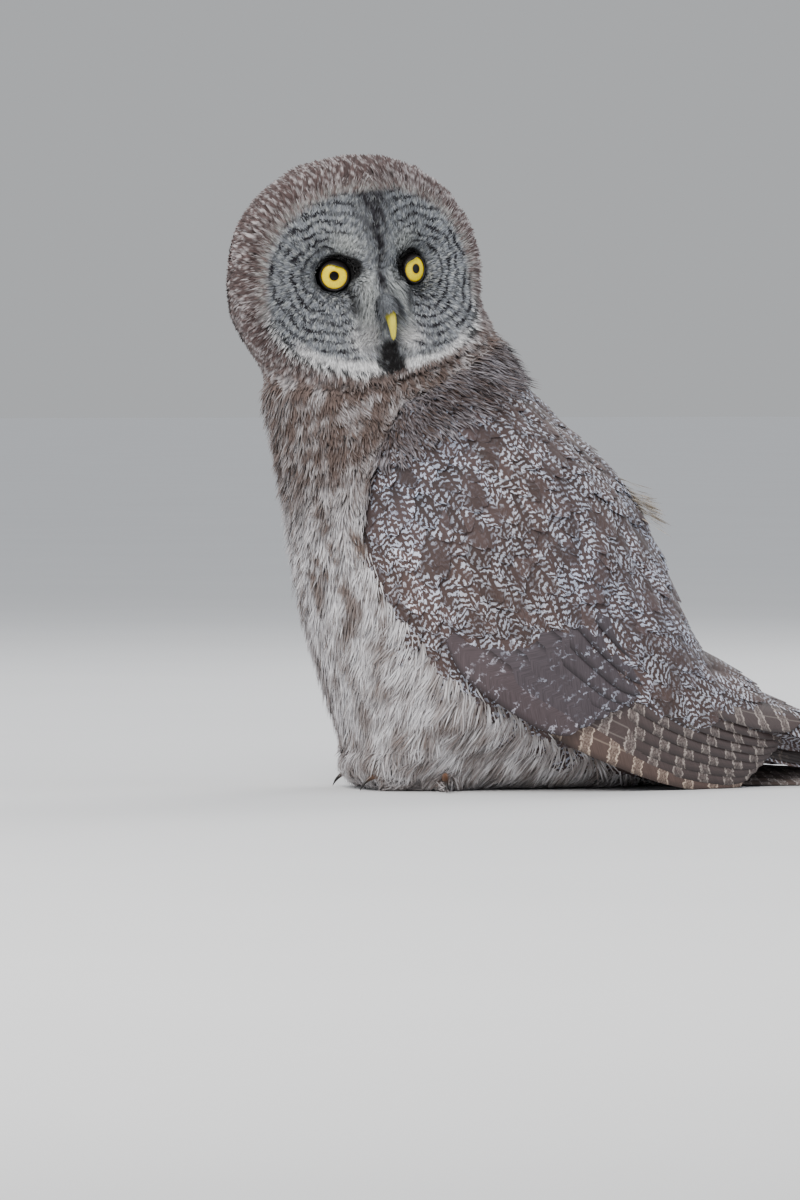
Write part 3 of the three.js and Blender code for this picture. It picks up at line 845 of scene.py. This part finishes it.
def coat(name, points, normals, r, length, width, shape, columns, material, paint, lift, slot_name,
         follow=True, cup=0.18, curl=0.0, spread=0.12, seed=1, twist=0.0, clump=0.0, flow=None):
    """One coat piece: a vane on each root. shape holds half widths along the vane as shares of width,
    and lift is the height of its root and of its tip over the skin."""
    random = np.random.default_rng(seed)
    count = len(points)
    rows = len(shape)
    if flow is None:
        flow = lie(points, normals, r)
    sideways = unit(np.cross(normals, flow))
    sway = random.normal(0, spread, count) + clump * ripple(points, 7, seed + 300)
    flow = unit(flow + sideways * sway[:, None])
    fluffed = 1 + 1.2 * clump * ripple(points, 9, seed + 400)
    length = length * random.uniform(0.82, 1.15, count)
    width = width * random.uniform(0.85, 1.15, count)
    centre, normal = laid(points, flow, length, rows, lift[0] * np.ones(count),
                          lift[1] * fluffed * random.uniform(0.75, 1.2, count), follow, curl)
    along = np.gradient(centre, axis=1)
    side = unit(np.cross(normal, along))
    if twist:
        side = unit(side + normal * random.normal(0, twist, count)[:, None, None])
    normal = unit(np.cross(along, side))
    widths = width[:, None] * np.asarray(shape)[None, :]
    verts, faces, across = strips(centre, side, normal, widths, cup, columns)
    verts[:, 2] = np.maximum(verts[:, 2], FLOOR_GAP)
    share = vertex_rows(np.broadcast_to(np.linspace(0, 1, rows), (count, rows)), columns)
    owner = np.repeat(np.arange(count), rows * columns)
    vane = np.stack([width[owner] * across, length[owner] * share, (random.random(count) * 20)[owner]], 1)
    tint, bar = paint(points, r, owner, verts, share, random)
    uv = unwrapped(points)[owner] + BAKE_PATCH * np.stack([across * 0.5, share - 0.5], 1)
    ring = None
    if bar is None:
        ring, bar = face_rings(verts, regions(verts))
        ring = ring + random.normal(0, 0.8, count)[owner]
    piece = make_mesh(name, to_world(verts), faces, material, vane, tint, bar,
                      np.clip(uv, 0.001, 0.999), ring)


def coats(parts, points, normals, r, length, width, *rest, **more):
    """The same coat in several pieces, for each name and choice of roots in parts."""
    for name, part in parts.items():
        chosen = {title: values[part] for title, values in r.items()}
        long, wide = [np.broadcast_to(size, len(points))[part] for size in (length, width)]
        coat(name, points[part], normals[part], chosen, long, wide, *rest, **more)


# Ways of painting the feathers

def paint_by_place(points, r, owner, verts, share, random):
    """The markings of the place where each part of the feather lies, with painted shade darkening each
    feather towards its root, where the feathers over it overlap.
    """
    tint = place_colour(verts, regions(verts))
    vary = random.uniform(0.6, 1.28, len(points))[owner]
    # painted shade: the root of each feather is darkened to half, as if shaded by the feathers lying over
    # it; vary is a random tone for each feather
    shade = (0.5 + 0.5 * smooth(share, 0.0, 0.55)) * vary
    return tint * shade[:, None], None


def paint_belly(points, r, owner, verts, share, random):
    """Pale fluff with a brown streak down the middle of some feathers and faint bars, and painted shade
    towards each feather's root.
    """
    tint = place_colour(verts, regions(verts))
    streaky = (random.random(len(points)) < 0.2)[owner]
    tint = mixed(tint, BELLY_BROWN * 0.8, smooth(share, 0.15, 0.4) * streaky * 0.6)
    vary = random.uniform(0.85, 1.15, len(points))[owner]
    # painted shade: each feather is darkened towards its root, as if shaded by the feathers lying over it;
    # vary is a random tone for each feather
    shade = (0.6 + 0.4 * smooth(share, 0.0, 0.4)) * vary
    return tint * shade[:, None], np.zeros(len(verts))


def paint_down(points, r, owner, verts, share, random):
    shade = random.uniform(0.7, 1.0, len(points))[owner]
    return colour(196, 182, 164)[None] * shade[:, None], np.zeros(len(verts))


def paint_vane(points, r, owner, verts, share, random):
    """A light tint over a barred vane: darker with painted shade at the root, where the feathers over it
    overlap, and darker where some feathers are blotched.
    """
    vary = random.uniform(0.72, 1.2, len(points))[owner]
    blotched = (random.random(len(points)) < 0.2)[owner]
    # painted shade: each vane is darkened to half at its root, as if shaded by the vanes lying over it; vary
    # is a random tone for each feather
    shade = (0.5 + 0.5 * smooth(share, 0.1, 0.6)) * vary
    cool = ripple(points, 40, 31)[owner]
    tint = np.stack([1 - 0.04 * cool, np.ones(len(owner)), 1 + 0.06 * cool], 1)
    bare = smooth(0.6 * ripple(verts, 7, 32) + 0.6 * ripple(verts, 17, 35), 0.10, 0.45)
    # a pale strip along the front of the left shoulder's feathers
    behind_edge = r["t"] + wing_edge(r["s"])
    strip = hill(behind_edge, 20, 8) * plateau(r["s"], 10, 40, 110, 150)
    strip = (strip * (points[:, 0] > 0))[owner]
    bar = np.maximum(np.where(blotched, 0.55, 1.0) * (1 - 0.95 * bare), strip)
    return tint * (shade * (1 + 0.5 * strip))[:, None], bar


TAPER = [0.30, 0.9, 1.0, 0.62, 0.06]
LOCK = [0.5, 1.0, 0.75, 0.08]
HAIR = [0.7, 1.0, 0.1]
ROUND = [0.35, 0.78, 0.98, 1.05, 1.02, 0.88, 0.60, 0.12]

hair = hair_material("fine_feathers")


def make_face():
    def keep(points, r):
        share, off, _ = along_bill(points)
        bare = (share > 0.42) * (off < 9)
        return (r["face"] > 0.4) * smooth(eye_polar(r)[0], 9.8, 10.8) * (1 - bare)
    points, normals, r = scatter(1.2, keep, 41)
    length = 4.2 + 3.0 * smooth(eye_polar(r)[0], 14, 50) + 3.5 * smooth(r["disc"], 0.85, 1.0)
    coats({"face_coat_left": r["side"] >= 0, "face_coat_right": r["side"] < 0},
          points, normals, r, length, 0.62, HAIR, 3, hair, paint_by_place, (0.0, 2.3), "face_feathers",
          follow=False, cup=0.3, spread=0.16, seed=51, twist=0.25, clump=0.15)


def make_bristles():
    """Long fine feathers that hide the sides and the root of the bill."""
    random = np.random.default_rng(58)
    count, rows, columns = 1700, 4, 3
    t = random.uniform(0, 0.50, count)
    turn = random.uniform(-0.5, math.pi + 0.5, count)
    places, wide, deep = bill_line(t)
    ahead, _, _ = bill_line(t + 0.02)
    down = unit(ahead - places)
    side = np.broadcast_to(HEAD_AXES[:, 0], down.shape)
    proud = unit(np.cross(down, side))
    roots = places + side * (wide * np.cos(turn))[:, None] + proud * (deep * np.sin(turn) + 0.2)[:, None]
    outward = unit(side * np.cos(turn)[:, None] + proud * np.sin(turn)[:, None])
    length = random.uniform(5.5, 11.5, count) * (1.3 - 0.7 * np.sin(np.clip(turn, 0, math.pi)))
    heading = unit(down + side * (0.45 * np.cos(turn) + random.normal(0, 0.12, count))[:, None])
    share = np.linspace(0, 1, rows)
    centre = (roots[:, None] + heading[:, None] * (length[:, None] * share)[..., None]
              + outward[:, None] * (0.3 + 1.2 * share)[None, :, None])
    vane_side = unit(np.cross(outward, heading))[:, None] * np.ones((1, rows, 1))
    normal = np.broadcast_to(outward[:, None], centre.shape)
    width = 0.42 * np.array([0.8, 1.0, 0.7, 0.05]) * np.ones((count, 1))
    verts, faces, across = strips(centre, vane_side, normal, width, 0.2, columns)
    owner = np.repeat(np.arange(count), rows * columns)
    on_top = np.sin(turn) > 0.55
    shade = np.where(on_top, random.uniform(0.25, 0.95, count), random.uniform(0.5, 1.25, count))
    tint = FACE_GREY[None] * shade[owner][:, None]
    vane = np.stack([across * 0.4, vertex_rows(share * np.ones((count, 1)), columns) * 8, owner * 0.37], 1)
    plain = np.zeros(len(verts))
    piece = make_mesh("bill_bristles", to_world(verts), faces, hair, vane, tint, plain,
                      unwrapped(verts), plain)


def make_bill_sides():
    """Raised feathers beside the bill that fill the hollow between it and the face."""
    def keep(points, r):
        across, up = np.abs(r["side"]), r["up"]
        share, off, _ = along_bill(points)
        bare = (share > 0.35) * (off < 7.5)
        return (r["front"] > 15) * (across > 2.5) * (across < 17) * (up > -50) * (up < -8) * (1 - bare)
    points, normals, r = scatter(1.35, keep, 47)
    outward = np.sign(r["side"])
    low = smooth(-r["up"], 26, 46)
    local = np.stack([outward * (0.18 + 0.75 * low), -0.35 - 0.25 * low, -1.0 + 0.35 * low], 1)
    coat("bill_side_tufts", points, normals, r, 11.0, 0.5, HAIR + [0.02], 3, hair, paint_by_place,
         (0.2, 5.2), "face_feathers", follow=False, cup=0.3, spread=0.22, seed=57, twist=0.3, clump=0.2,
         flow=unit(local @ HEAD_AXES.T))


def make_down_tuft():
    """A loose tuft of down that stands out from the left side of the back."""
    random = np.random.default_rng(66)
    count = 150
    middle = np.array([30.0, 146.0, 214.0])
    points, normals = nearest(middle + random.normal(0, 1, (count, 3)) * np.array([6.0, 3.0, 8.0]))
    heading = np.array([0.25, 0.75, -0.25]) + random.normal(0, 0.22, (count, 3))
    along_skin = unit(heading - normals * np.sum(heading * normals, 1, keepdims=True))
    coat("down_tuft", points, normals, regions(points), 24.0, 0.5, HAIR + [0.5, 0.2], 3, hair, paint_down,
         (2.0, 13.0), "pale_feathers", follow=False, cup=0.2, spread=0.2, seed=67, twist=0.4, curl=0.12,
         flow=along_skin)


def make_crown():
    def keep(points, r):
        return (r["head"] > 0.25) * (r["face"] <= 0.5)
    points, normals, r = scatter(1.9, keep, 42)
    coats({"crown_coat_left": r["side"] >= 0, "crown_coat_right": r["side"] < 0},
          points, normals, r, 9.5, 1.3, TAPER, 3, hair, paint_by_place, (0.4, 5.2), "brown_feathers",
          follow=True, cup=0.3, spread=0.16, seed=52, clump=0.15)


def make_underparts():
    """The neck, breast and belly. The nape's feathers run over the first vanes of the mantle."""
    def keep(points, r):
        high = smooth(points[:, 2], 18, 30)
        nape = 1 - smooth(r["s"], -12, 14)
        return (r["head"] <= 0.35) * np.maximum(r["wing"] < 0.6, nape) * np.maximum(high, 0.55)
    points, normals, r = scatter(1.75, keep, 43)
    length = 12 + 12 * smooth(r["s"], 10, 140)
    high = r["s"] < 62
    left = points[:, 0] >= 0
    coats({"neck_coat_left": high & left, "neck_coat_right": high & ~left,
           "belly_coat_left": ~high & left, "belly_coat_right": ~high & ~left},
          points, normals, r, length, 0.62, LOCK, 3, hair, paint_belly, (0.5, 7.5), "pale_feathers",
          follow=True, cup=0.2, spread=0.16, seed=53, twist=0.3, clump=0.3)


def make_mantle(barred):
    def keep(points, r):
        return (r["head"] <= 0.35) * (r["wing"] > 0.35) * (r["s"] < 285)
    points, normals, r = scatter(10.5, keep, 44)
    length = 24 + 24 * smooth(r["s"], -20, 180) - 16 * smooth(r["s"], 230, 285)
    width = 8.0 + 5.0 * smooth(r["s"], -20, 160)
    for name, part in (("mantle_coat_left", points[:, 0] >= 0), ("mantle_coat_right", points[:, 0] < 0)):
        lift = (0.6, 2.6 + 3.2 * smooth(r["s"][part], -10, 70))
        coats({name: part}, points, normals, r, length, width, ROUND, 7, barred, paint_vane,
              lift, "brown_feathers", follow=True, cup=0.22, spread=0.13, seed=54)


def make_rump(barred):
    """Long vanes that lie straight back over the root of the tail."""
    def keep(points, r):
        return (r["head"] <= 0.35) * (r["t"] > 2) * (r["s"] > 268) * (r["s"] < 330)
    points, normals, r = scatter(9.0, keep, 49)
    none, sin, cos = 0 * r["lean"], np.sin(r["lean"]), np.cos(r["lean"])
    downwards = np.stack([none, sin, -cos], 1)
    backwards = np.stack([none, cos, sin], 1)
    wanted = (np.sum(backwards * normals, 1) > 0.35) & (np.sum(downwards * normals, 1) < 0.5)
    points, normals, downwards = points[wanted], normals[wanted], downwards[wanted]
    r = regions(points)
    inward = np.array([-0.45, 0.0, 0.0]) * (points[:, :1] / 80)
    length = 50 + 32 * smooth(r["s"], 280, 325)
    coat("rump_coat", points, normals, r, length, 11.5, ROUND, 7, barred, paint_vane, (0.8, 2.2),
         "brown_feathers", follow=False, cup=0.2, spread=0.06, seed=64, flow=unit(downwards + inward))


def make_toes():
    def keep(points, r):
        return (points[:, 2] < 20) * (points[:, 2] > 1.5) * (np.abs(points[:, 1]) < 60)
    points, normals, r = scatter(1.8, keep, 45)
    coat("toe_coat", points, normals, r, 4.5, 0.9, HAIR, 3, hair, paint_by_place,
         (0.0, 1.6), "toe_feathers", follow=False, cup=0.3, spread=0.2, seed=55)


# Eyes, lids, bill and claws

def ring_grid(centres, sides, ups, wide, high, around):
    """Rings of points round a path, as a closed tube with pointed ends.
    sides and ups are the directions across the path, one for each ring or one for them all."""
    angle = np.linspace(0, 2 * math.pi, around, endpoint=False)
    sides, ups = np.broadcast_to(sides, centres.shape), np.broadcast_to(ups, centres.shape)
    verts = (centres[:, None] + sides[:, None] * (wide[:, None] * np.cos(angle))[..., None]
             + ups[:, None] * (high[:, None] * np.sin(angle))[..., None])
    rows = len(centres)
    grid = np.arange(rows * around).reshape(rows, around)
    nxt = np.roll(grid, -1, 1)
    quads = np.stack([grid[:-1], nxt[:-1], nxt[1:], grid[1:]], -1).reshape(-1, 4)
    first, last = rows * around, rows * around + 1
    caps = [np.stack([nxt[0], grid[0], np.full(around, first), np.full(around, first)], 1),
            np.stack([grid[-1], nxt[-1], np.full(around, last), np.full(around, last)], 1)]
    verts = np.concatenate([verts.reshape(-1, 3), centres[:1], centres[-1:]])
    share = np.concatenate([np.repeat(np.linspace(0, 1, rows), around), [0, 1]])
    turn = np.concatenate([np.tile(angle, rows), [0, 0]])
    return verts, np.concatenate([quads] + caps), share, turn


def make_eye(sign, name, material):
    middle = on_head(sign * EYE_PLACE[0], EYE_PLACE[1], EYE_PLACE[2])
    gaze = unit(HEAD_AXES @ np.array([sign * math.sin(EYE_SPREAD), -math.cos(EYE_SPREAD), 0.0]))
    upward = unit(HEAD_AXES[:, 2] - gaze * (HEAD_AXES[:, 2] @ gaze))
    outward = np.cross(gaze, upward)
    rows, around = 40, 48
    polar = np.linspace(0.001, math.pi - 0.001, rows)
    size = EYE_RADIUS * np.sin(polar)
    ball = EYE_RADIUS * np.cos(polar)
    front = IRIS_DEPTH + IRIS_BULGE * (1 - (size / IRIS_RADIUS) ** 2)
    within = (polar < math.pi / 2) & (size < IRIS_RADIUS)
    centres = middle + gaze * np.where(within, front, ball)[:, None]
    verts, faces, _, turn = ring_grid(centres, outward, upward, size, size, around)
    radius = np.concatenate([np.repeat(size, around), [0, 0]])
    behind = np.concatenate([np.repeat(polar, around), [0, math.pi]]) > math.pi / 2
    radius = np.where(behind, EYE_RADIUS, radius)
    eye = make_mesh(f"eyeball_{name}", to_world(verts), faces, material,
                    np.stack([radius, turn, np.zeros_like(turn)], 1))
    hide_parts(f"eye_{name}")
    return middle, gaze, upward, outward


def make_lids(sign, name, material, placed):
    """A dark fleshy rim round the eye, with the upper lid a little over the iris."""
    middle, gaze, upward, outward = placed
    around = 64
    angle = np.linspace(0, 2 * math.pi, around, endpoint=False)
    opening = 9.7 - 2.4 * hill(angle, math.pi / 2 - sign * 0.35, 0.7)
    edge = np.full(around, LID_EDGE)
    rings = []
    for size, lift in ((opening + 0.2, -2.2), (opening - 0.25, -0.1), (opening + 0.1, 0.7),
                       (opening + 0.4, 0.75), (0.5 * (opening + edge), 0.65), (edge, 0.0),
                       (edge + 0.6, -2.4)):
        depth = np.sqrt(np.maximum((EYE_RADIUS + 0.35) ** 2 - np.minimum(size, 12.0) ** 2, 1.0)) + lift
        across, high = size * np.cos(angle), size * np.sin(angle)
        rings.append(middle + outward * across[:, None] + upward * high[:, None] + gaze * depth[:, None])
    verts = np.concatenate(rings)
    grid = np.arange(len(verts)).reshape(len(rings), around)
    following = np.roll(grid, -1, 1)
    faces = np.stack([grid[:-1], following[:-1], following[1:], grid[1:]], -1).reshape(-1, 4)
    lids = make_mesh(f"lids_{name}", to_world(verts), faces, material)


def make_bill():
    material = horn_material("bill_horn", colour(178, 168, 70), colour(214, 200, 58), 0.38)
    side = HEAD_AXES[:, 0]

    def tube(name, node, centres, wide, high, around):
        ups = unit(np.cross(np.gradient(centres, axis=0), side))
        verts, faces, share, turn = ring_grid(centres, side, ups, wide, high, around)
        vane = np.stack([np.cos(turn) * 4, share, share * 0], 1)
        piece = make_mesh(name, to_world(verts), faces, material, vane)
        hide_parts(node)

    tube("upper_bill", "bill_upper", *bill_line(np.linspace(0, 1, 28)), 24)
    t = np.linspace(0, 1, 14)
    centres = np.array([on_head(0, 34 + 13 * k, -42 - 6 * k) for k in t])
    closing = np.sqrt(np.clip((1 - t) / 0.15, 0, 1))
    wide, high = (4.8 - 3.0 * t) * closing + 0.05, (3.4 - 1.8 * t) * closing + 0.05
    tube("lower_bill", "bill_lower", centres, wide, high, 20)


def make_claws():
    material = horn_material("claw_horn", colour(120, 82, 56), colour(22, 15, 12), 0.3)
    t = np.linspace(0, 1, 18)
    angle = np.radians(-22 + 90 * t)
    size = np.maximum(CLAW_THICK * (1 - t) ** 0.7, 0.2)
    for sign, side_name in SIDES:
        for toe, (heading, reach) in TOES.items():
            turn = math.radians(heading)
            along = np.array([sign * math.sin(turn), -math.cos(turn), 0.0])
            side = np.array([-along[1], along[0], 0.0])
            start = np.array([sign * FOOT_X, 0, 0]) + along * (reach - 7)
            centres = start + along * (CLAW_ARC * (np.sin(angle) - np.sin(angle[0])))[:, None]
            centres[:, 2] = CLAW_ARC * (np.cos(angle) - np.cos(angle[-1])) + 0.6
            ups = along * np.sin(angle)[:, None] + np.array([0, 0, 1]) * np.cos(angle)[:, None]
            verts, faces, share, around = ring_grid(centres, side, ups, size * 0.8, size, 14)
            vane = np.stack([np.cos(around) * 2, share, share * 0], 1)
            piece = make_mesh(f"talon_{toe}_{side_name}", to_world(verts), faces, material, vane)
            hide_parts(f"claw_{toe}_{side_name}")


# Flight feathers

def flight_feathers(name, row, material, tints, bar_share=1.0, columns=7, cup=0.10, patchy=False):
    """One piece of long vanes. row holds their lines and normals (feather, row, 3) and half widths.
    Patchy vanes carry their marks only here and there, and mostly along their edges."""
    lines, normals, widths = row
    count, rows = widths.shape
    side = unit(np.cross(normals, np.gradient(lines, axis=1)))
    normal = unit(np.cross(np.gradient(lines, axis=1), side))
    verts, faces, across = strips(lines, side, normal, widths, cup, columns)
    verts[:, 2] = np.maximum(verts[:, 2], FLOOR_GAP)
    step = np.linalg.norm(np.diff(lines, axis=1), axis=2)
    long_mm = np.concatenate([np.zeros((count, 1)), np.cumsum(step, 1)], 1)
    share = vertex_rows(long_mm / long_mm[:, -1:], columns)
    owner = np.repeat(np.arange(count), rows * columns)
    vane = np.stack([vertex_rows(widths, columns) * across, vertex_rows(long_mm, columns), owner * 3.7], 1)
    tint = np.asarray(tints)[owner] * (1 - 0.6 * np.abs(across) ** 8)[:, None]
    bar = np.full(len(verts), bar_share)
    if patchy:
        here = smooth(ripple(verts, 8, 71), 0.0, 0.4) * smooth(np.abs(across), 0.1, 0.6)
        bar = bar * np.maximum(here, smooth(share, 0.9, 0.97))
    piece = make_mesh(name, to_world(verts), faces, material, vane, tint, bar, unwrapped(verts))
    return piece


def blade(rows, pointed):
    """Half width along a long feather, from 0 to 1, with a round or a pointed tip."""
    t = np.linspace(0, 1, rows)
    tip = np.sqrt(np.clip(1 - np.clip((t - pointed) / (1 - pointed), 0, 1) ** 2, 0.0008, 1))
    return smooth(t, -0.15, 0.25) * tip


def row_of(count, feather):
    """Gathers the centre line, the normals and the half widths that feather(k, place) gives."""
    lines, normals, widths = zip(*[feather(k, k / (count - 1)) for k in range(count)])
    return np.stack(lines), np.stack([np.broadcast_to(n, lines[0].shape) for n in normals]), np.stack(widths)


def off_body_line(x, y, z, lean, height):
    """Places at x to the side and at this height over the body line, towards the back."""
    return np.stack([x, y + np.cos(lean) * height, z + np.sin(lean) * height], 1)


def wing_row(name, sign, count, start, ends, half_width, pointed, proud, material, patchy):
    """A row of long feathers down the side of the folded wing, from its front edge to its back."""
    rows = 36

    def feather(k, place):
        place = 0.04 + 0.96 * place
        s = np.linspace(start, ends[0] + (ends[1] - ends[0]) * place, rows)
        y, z, lean = body_line(s)
        t = -wing_edge(s) * (1 - place * 0.95) + 20 * place + 4
        half = np.interp(s, [130, 170, 210, 250, 290, 330, 370], [110, 107, 102, 93, 78, 60, 42])
        roof = np.clip((t + 40) / 130, 0, 1)
        emerge = proud[0] + (proud[1] - proud[0]) * smooth(np.linspace(0, 1, rows), 0.0, 0.45)
        x = half * np.sqrt(np.clip(1 - roof ** 2, 0.05, 1)) + emerge - 0.2 * k
        centre = off_body_line(sign * x, y, z, lean, t)
        centre[:, 2] = np.maximum(centre[:, 2], 5.0)
        normal = unit(np.stack([sign * (1 - roof * 0.7), np.cos(lean) * roof, np.sin(lean) * roof], 1))
        return centre, normal, half_width * blade(rows, pointed)
    tints = np.linspace(1.0, 0.88, count)[:, None] * np.ones(3)
    tints[0] = (1.08, 1.0, 0.96) if patchy else (1.4, 1.28, 1.12)
    flight_feathers(name, row_of(count, feather), material, tints, patchy=patchy)


def make_secondaries():
    quills = quill_material("barred_quills", colour(72, 59, 57), colour(172, 160, 152), 22.0, 0.24)
    coverts = barred_material("covert_vanes", SLATE, colour(186, 190, 206), 8.0, 0.16, 0.7, 2.4)
    for sign, name in SIDES:
        wing_row(f"secondaries_{name}", sign, 9, 170, (338, 378), 12.5, 0.86, (-6.0, 3.5), quills, False)
        wing_row(f"greater_coverts_{name}", sign, 8, 132, (216, 250), 13.5, 0.72, (-7.0, 5.6), coverts, True)


def make_primaries():
    material = quill_material("dark_quills", DUSK, colour(112, 98, 90), 26.0, 0.2)
    rows, count = 40, 8
    stations = [250, 296, 330, 380, 420, 450]
    for sign, name in SIDES:
        def feather(k, place):
            s = np.linspace(250, WING_TIP - 52 * (1 - place) ** 1.3, rows)
            y, z, lean = body_line(s)
            height = np.interp(s, stations, [14, 14, 12, 9, 7, 5]) + (place - 0.5) * 16
            x = np.interp(s, stations, [62, 54, 45, 31, 20, 12]) + 4 - 4 * place
            centre = off_body_line(sign * x, y, z, lean, height)
            centre[:, 2] = np.maximum(centre[:, 2], 9.0 + 4 * place)
            return centre, np.array([sign * 0.8, 0.1, 0.6]), 10.0 * blade(rows, 0.80)
        tints = np.linspace(0.75, 1.1, count)[:, None] * np.ones(3)
        piece = flight_feathers(f"primaries_{name}", row_of(count, feather), material, tints, 0.8)
        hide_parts(f"wing_tip_{name}")


def make_tail():
    material = quill_material("tail_quills", colour(98, 85, 80), colour(200, 192, 188), 13.0, 0.4)
    rows, count = 44, 12

    def feather(k, place):
        fan = 2 * place - 1
        y = np.linspace(100, TAIL_TIP_Y - 3 - 20 * abs(fan) ** 1.6 - 5 * (k % 2), rows)
        top = np.interp(y, [90, 130, 165, 200, 260, 330, 376], [80, 50, 30, 19.5, 14, 11, 7])
        low = np.interp(y, [90, 130, 165, 200, 376], [60, 34, 12, 1.6, 1.6])
        z = low + (top - low) * (0.25 + 0.7 * (1 - abs(fan)))
        x = fan * np.interp(y, [90, 200, 320, 376], [14, 26, 35, 33])
        return np.stack([x, y, z], 1), np.array([fan * 0.35, 0, 1.0]), 12.0 * blade(rows, 0.90)
    tints = np.where(np.arange(count) % 2, 0.82, 1.08)[:, None] * np.ones(3)
    piece = flight_feathers("tail_feathers", row_of(count, feather), material, tints, 1.0, 9, 0.06)
    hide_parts("tail")


# Stage: floor, light and camera

def make_floor():
    size = 40.0
    verts = [(-size, -size, 0), (size, -size, 0), (size, size, 0), (-size, size, 0)]
    mesh = bpy.data.meshes.new("floor")
    mesh.from_pydata(verts, [], [(0, 1, 2, 3)])
    floor = bpy.data.objects.new("floor", mesh)
    bpy.context.scene.collection.objects.link(floor)
    g = new_material("floor_paint")
    base = g.mix(g.noise(g.place(), 3.0), grey(0.70), grey(0.74))
    mesh.materials.append(g.finish(base, 1.0, Specular_IOR_Level=0.0))


def make_world():
    """Soft light from all round, paler overhead than at the horizon."""
    world = bpy.data.worlds.new("studio")
    g = Graph(world)
    split = g.nodes.new("ShaderNodeSeparateXYZ")
    g.put(split.inputs[0], g.place("Generated"))
    rise = g.ramp(split.outputs["Z"], 0.06, 0.5, "LINEAR")
    background = g.nodes["Background"].inputs
    g.put(background["Color"], g.mix(rise, np.array([0.603, 0.618, 0.635]), np.array([0.90, 0.93, 0.98])))
    background["Strength"].default_value = 0.78
    bpy.context.scene.world = world


def make_light(name, place, aim, size, power, tint):
    light = bpy.data.lights.new(name, "AREA")
    light.size = size
    light.energy = power
    light.color = tint
    lamp = bpy.data.objects.new(name, light)
    lamp.location = place
    lamp.rotation_euler = (Vector(aim) - Vector(place)).to_track_quat("-Z", "Y").to_euler()
    bpy.context.scene.collection.objects.link(lamp)


def make_camera():
    """The picture is 800 by 1200, with 14.1 pixels to a centimetre at the owl."""
    azimuth, elevation = math.radians(75), math.radians(1.6)
    distance = 6.0
    pixels_per_metre = 1410.0
    picture_height = 1200 / pixels_per_metre
    right = Vector((math.cos(azimuth), math.sin(azimuth), 0))
    back = Vector((math.sin(azimuth) * math.cos(elevation), -math.cos(azimuth) * math.cos(elevation),
                   math.sin(elevation)))
    feet_in_picture = (430, 788)
    aim = Vector(BETWEEN_FEET)
    aim += right * ((400 - feet_in_picture[0]) / pixels_per_metre)
    aim += Vector((0, 0, 1)) * ((feet_in_picture[1] - 600) / pixels_per_metre)
    data = bpy.data.cameras.new("camera")
    data.sensor_width = 36
    data.lens = data.sensor_width * distance / picture_height
    data.clip_end = 60
    camera = bpy.data.objects.new("camera", data)
    camera.location = aim + back * distance
    camera.rotation_euler = back.to_track_quat("Z", "Y").to_euler()
    bpy.context.scene.collection.objects.link(camera)
    bpy.context.scene.camera = camera


make_floor()
make_world()
make_camera()
make_light("key", (2.2, -1.6, 2.4), (0, 0, 0.25), 1.8, 112, (1.0, 0.98, 0.95))
make_light("fill", (1.6, 2.4, 1.2), (0, 0, 0.25), 2.4, 26, (0.88, 0.93, 1.0))
make_light("rim", (-1.8, 1.6, 2.2), (0, 0, 0.3), 1.6, 50, (1.0, 1.0, 1.0))
make_light("front", (-1.4, -2.2, 1.6), (0, 0, 0.25), 2.2, 24, (0.95, 0.97, 1.0))

eye_look = eye_material("wet_eye")
lid_look = lid_material()
for eye_sign, eye_name in SIDES:
    make_lids(eye_sign, eye_name, lid_look, make_eye(eye_sign, eye_name, eye_look))
make_bill()
make_claws()
make_face()
make_bristles()
make_bill_sides()
make_down_tuft()
make_crown()
make_underparts()
barred_vanes = barred_material("barred_vanes", MANTLE_BROWN, colour(198, 204, 221), 4.5, 0.42, 1.4, 2.1)
make_mantle(barred_vanes)
make_rump(barred_vanes)
make_toes()
make_secondaries()
make_primaries()
make_tail()
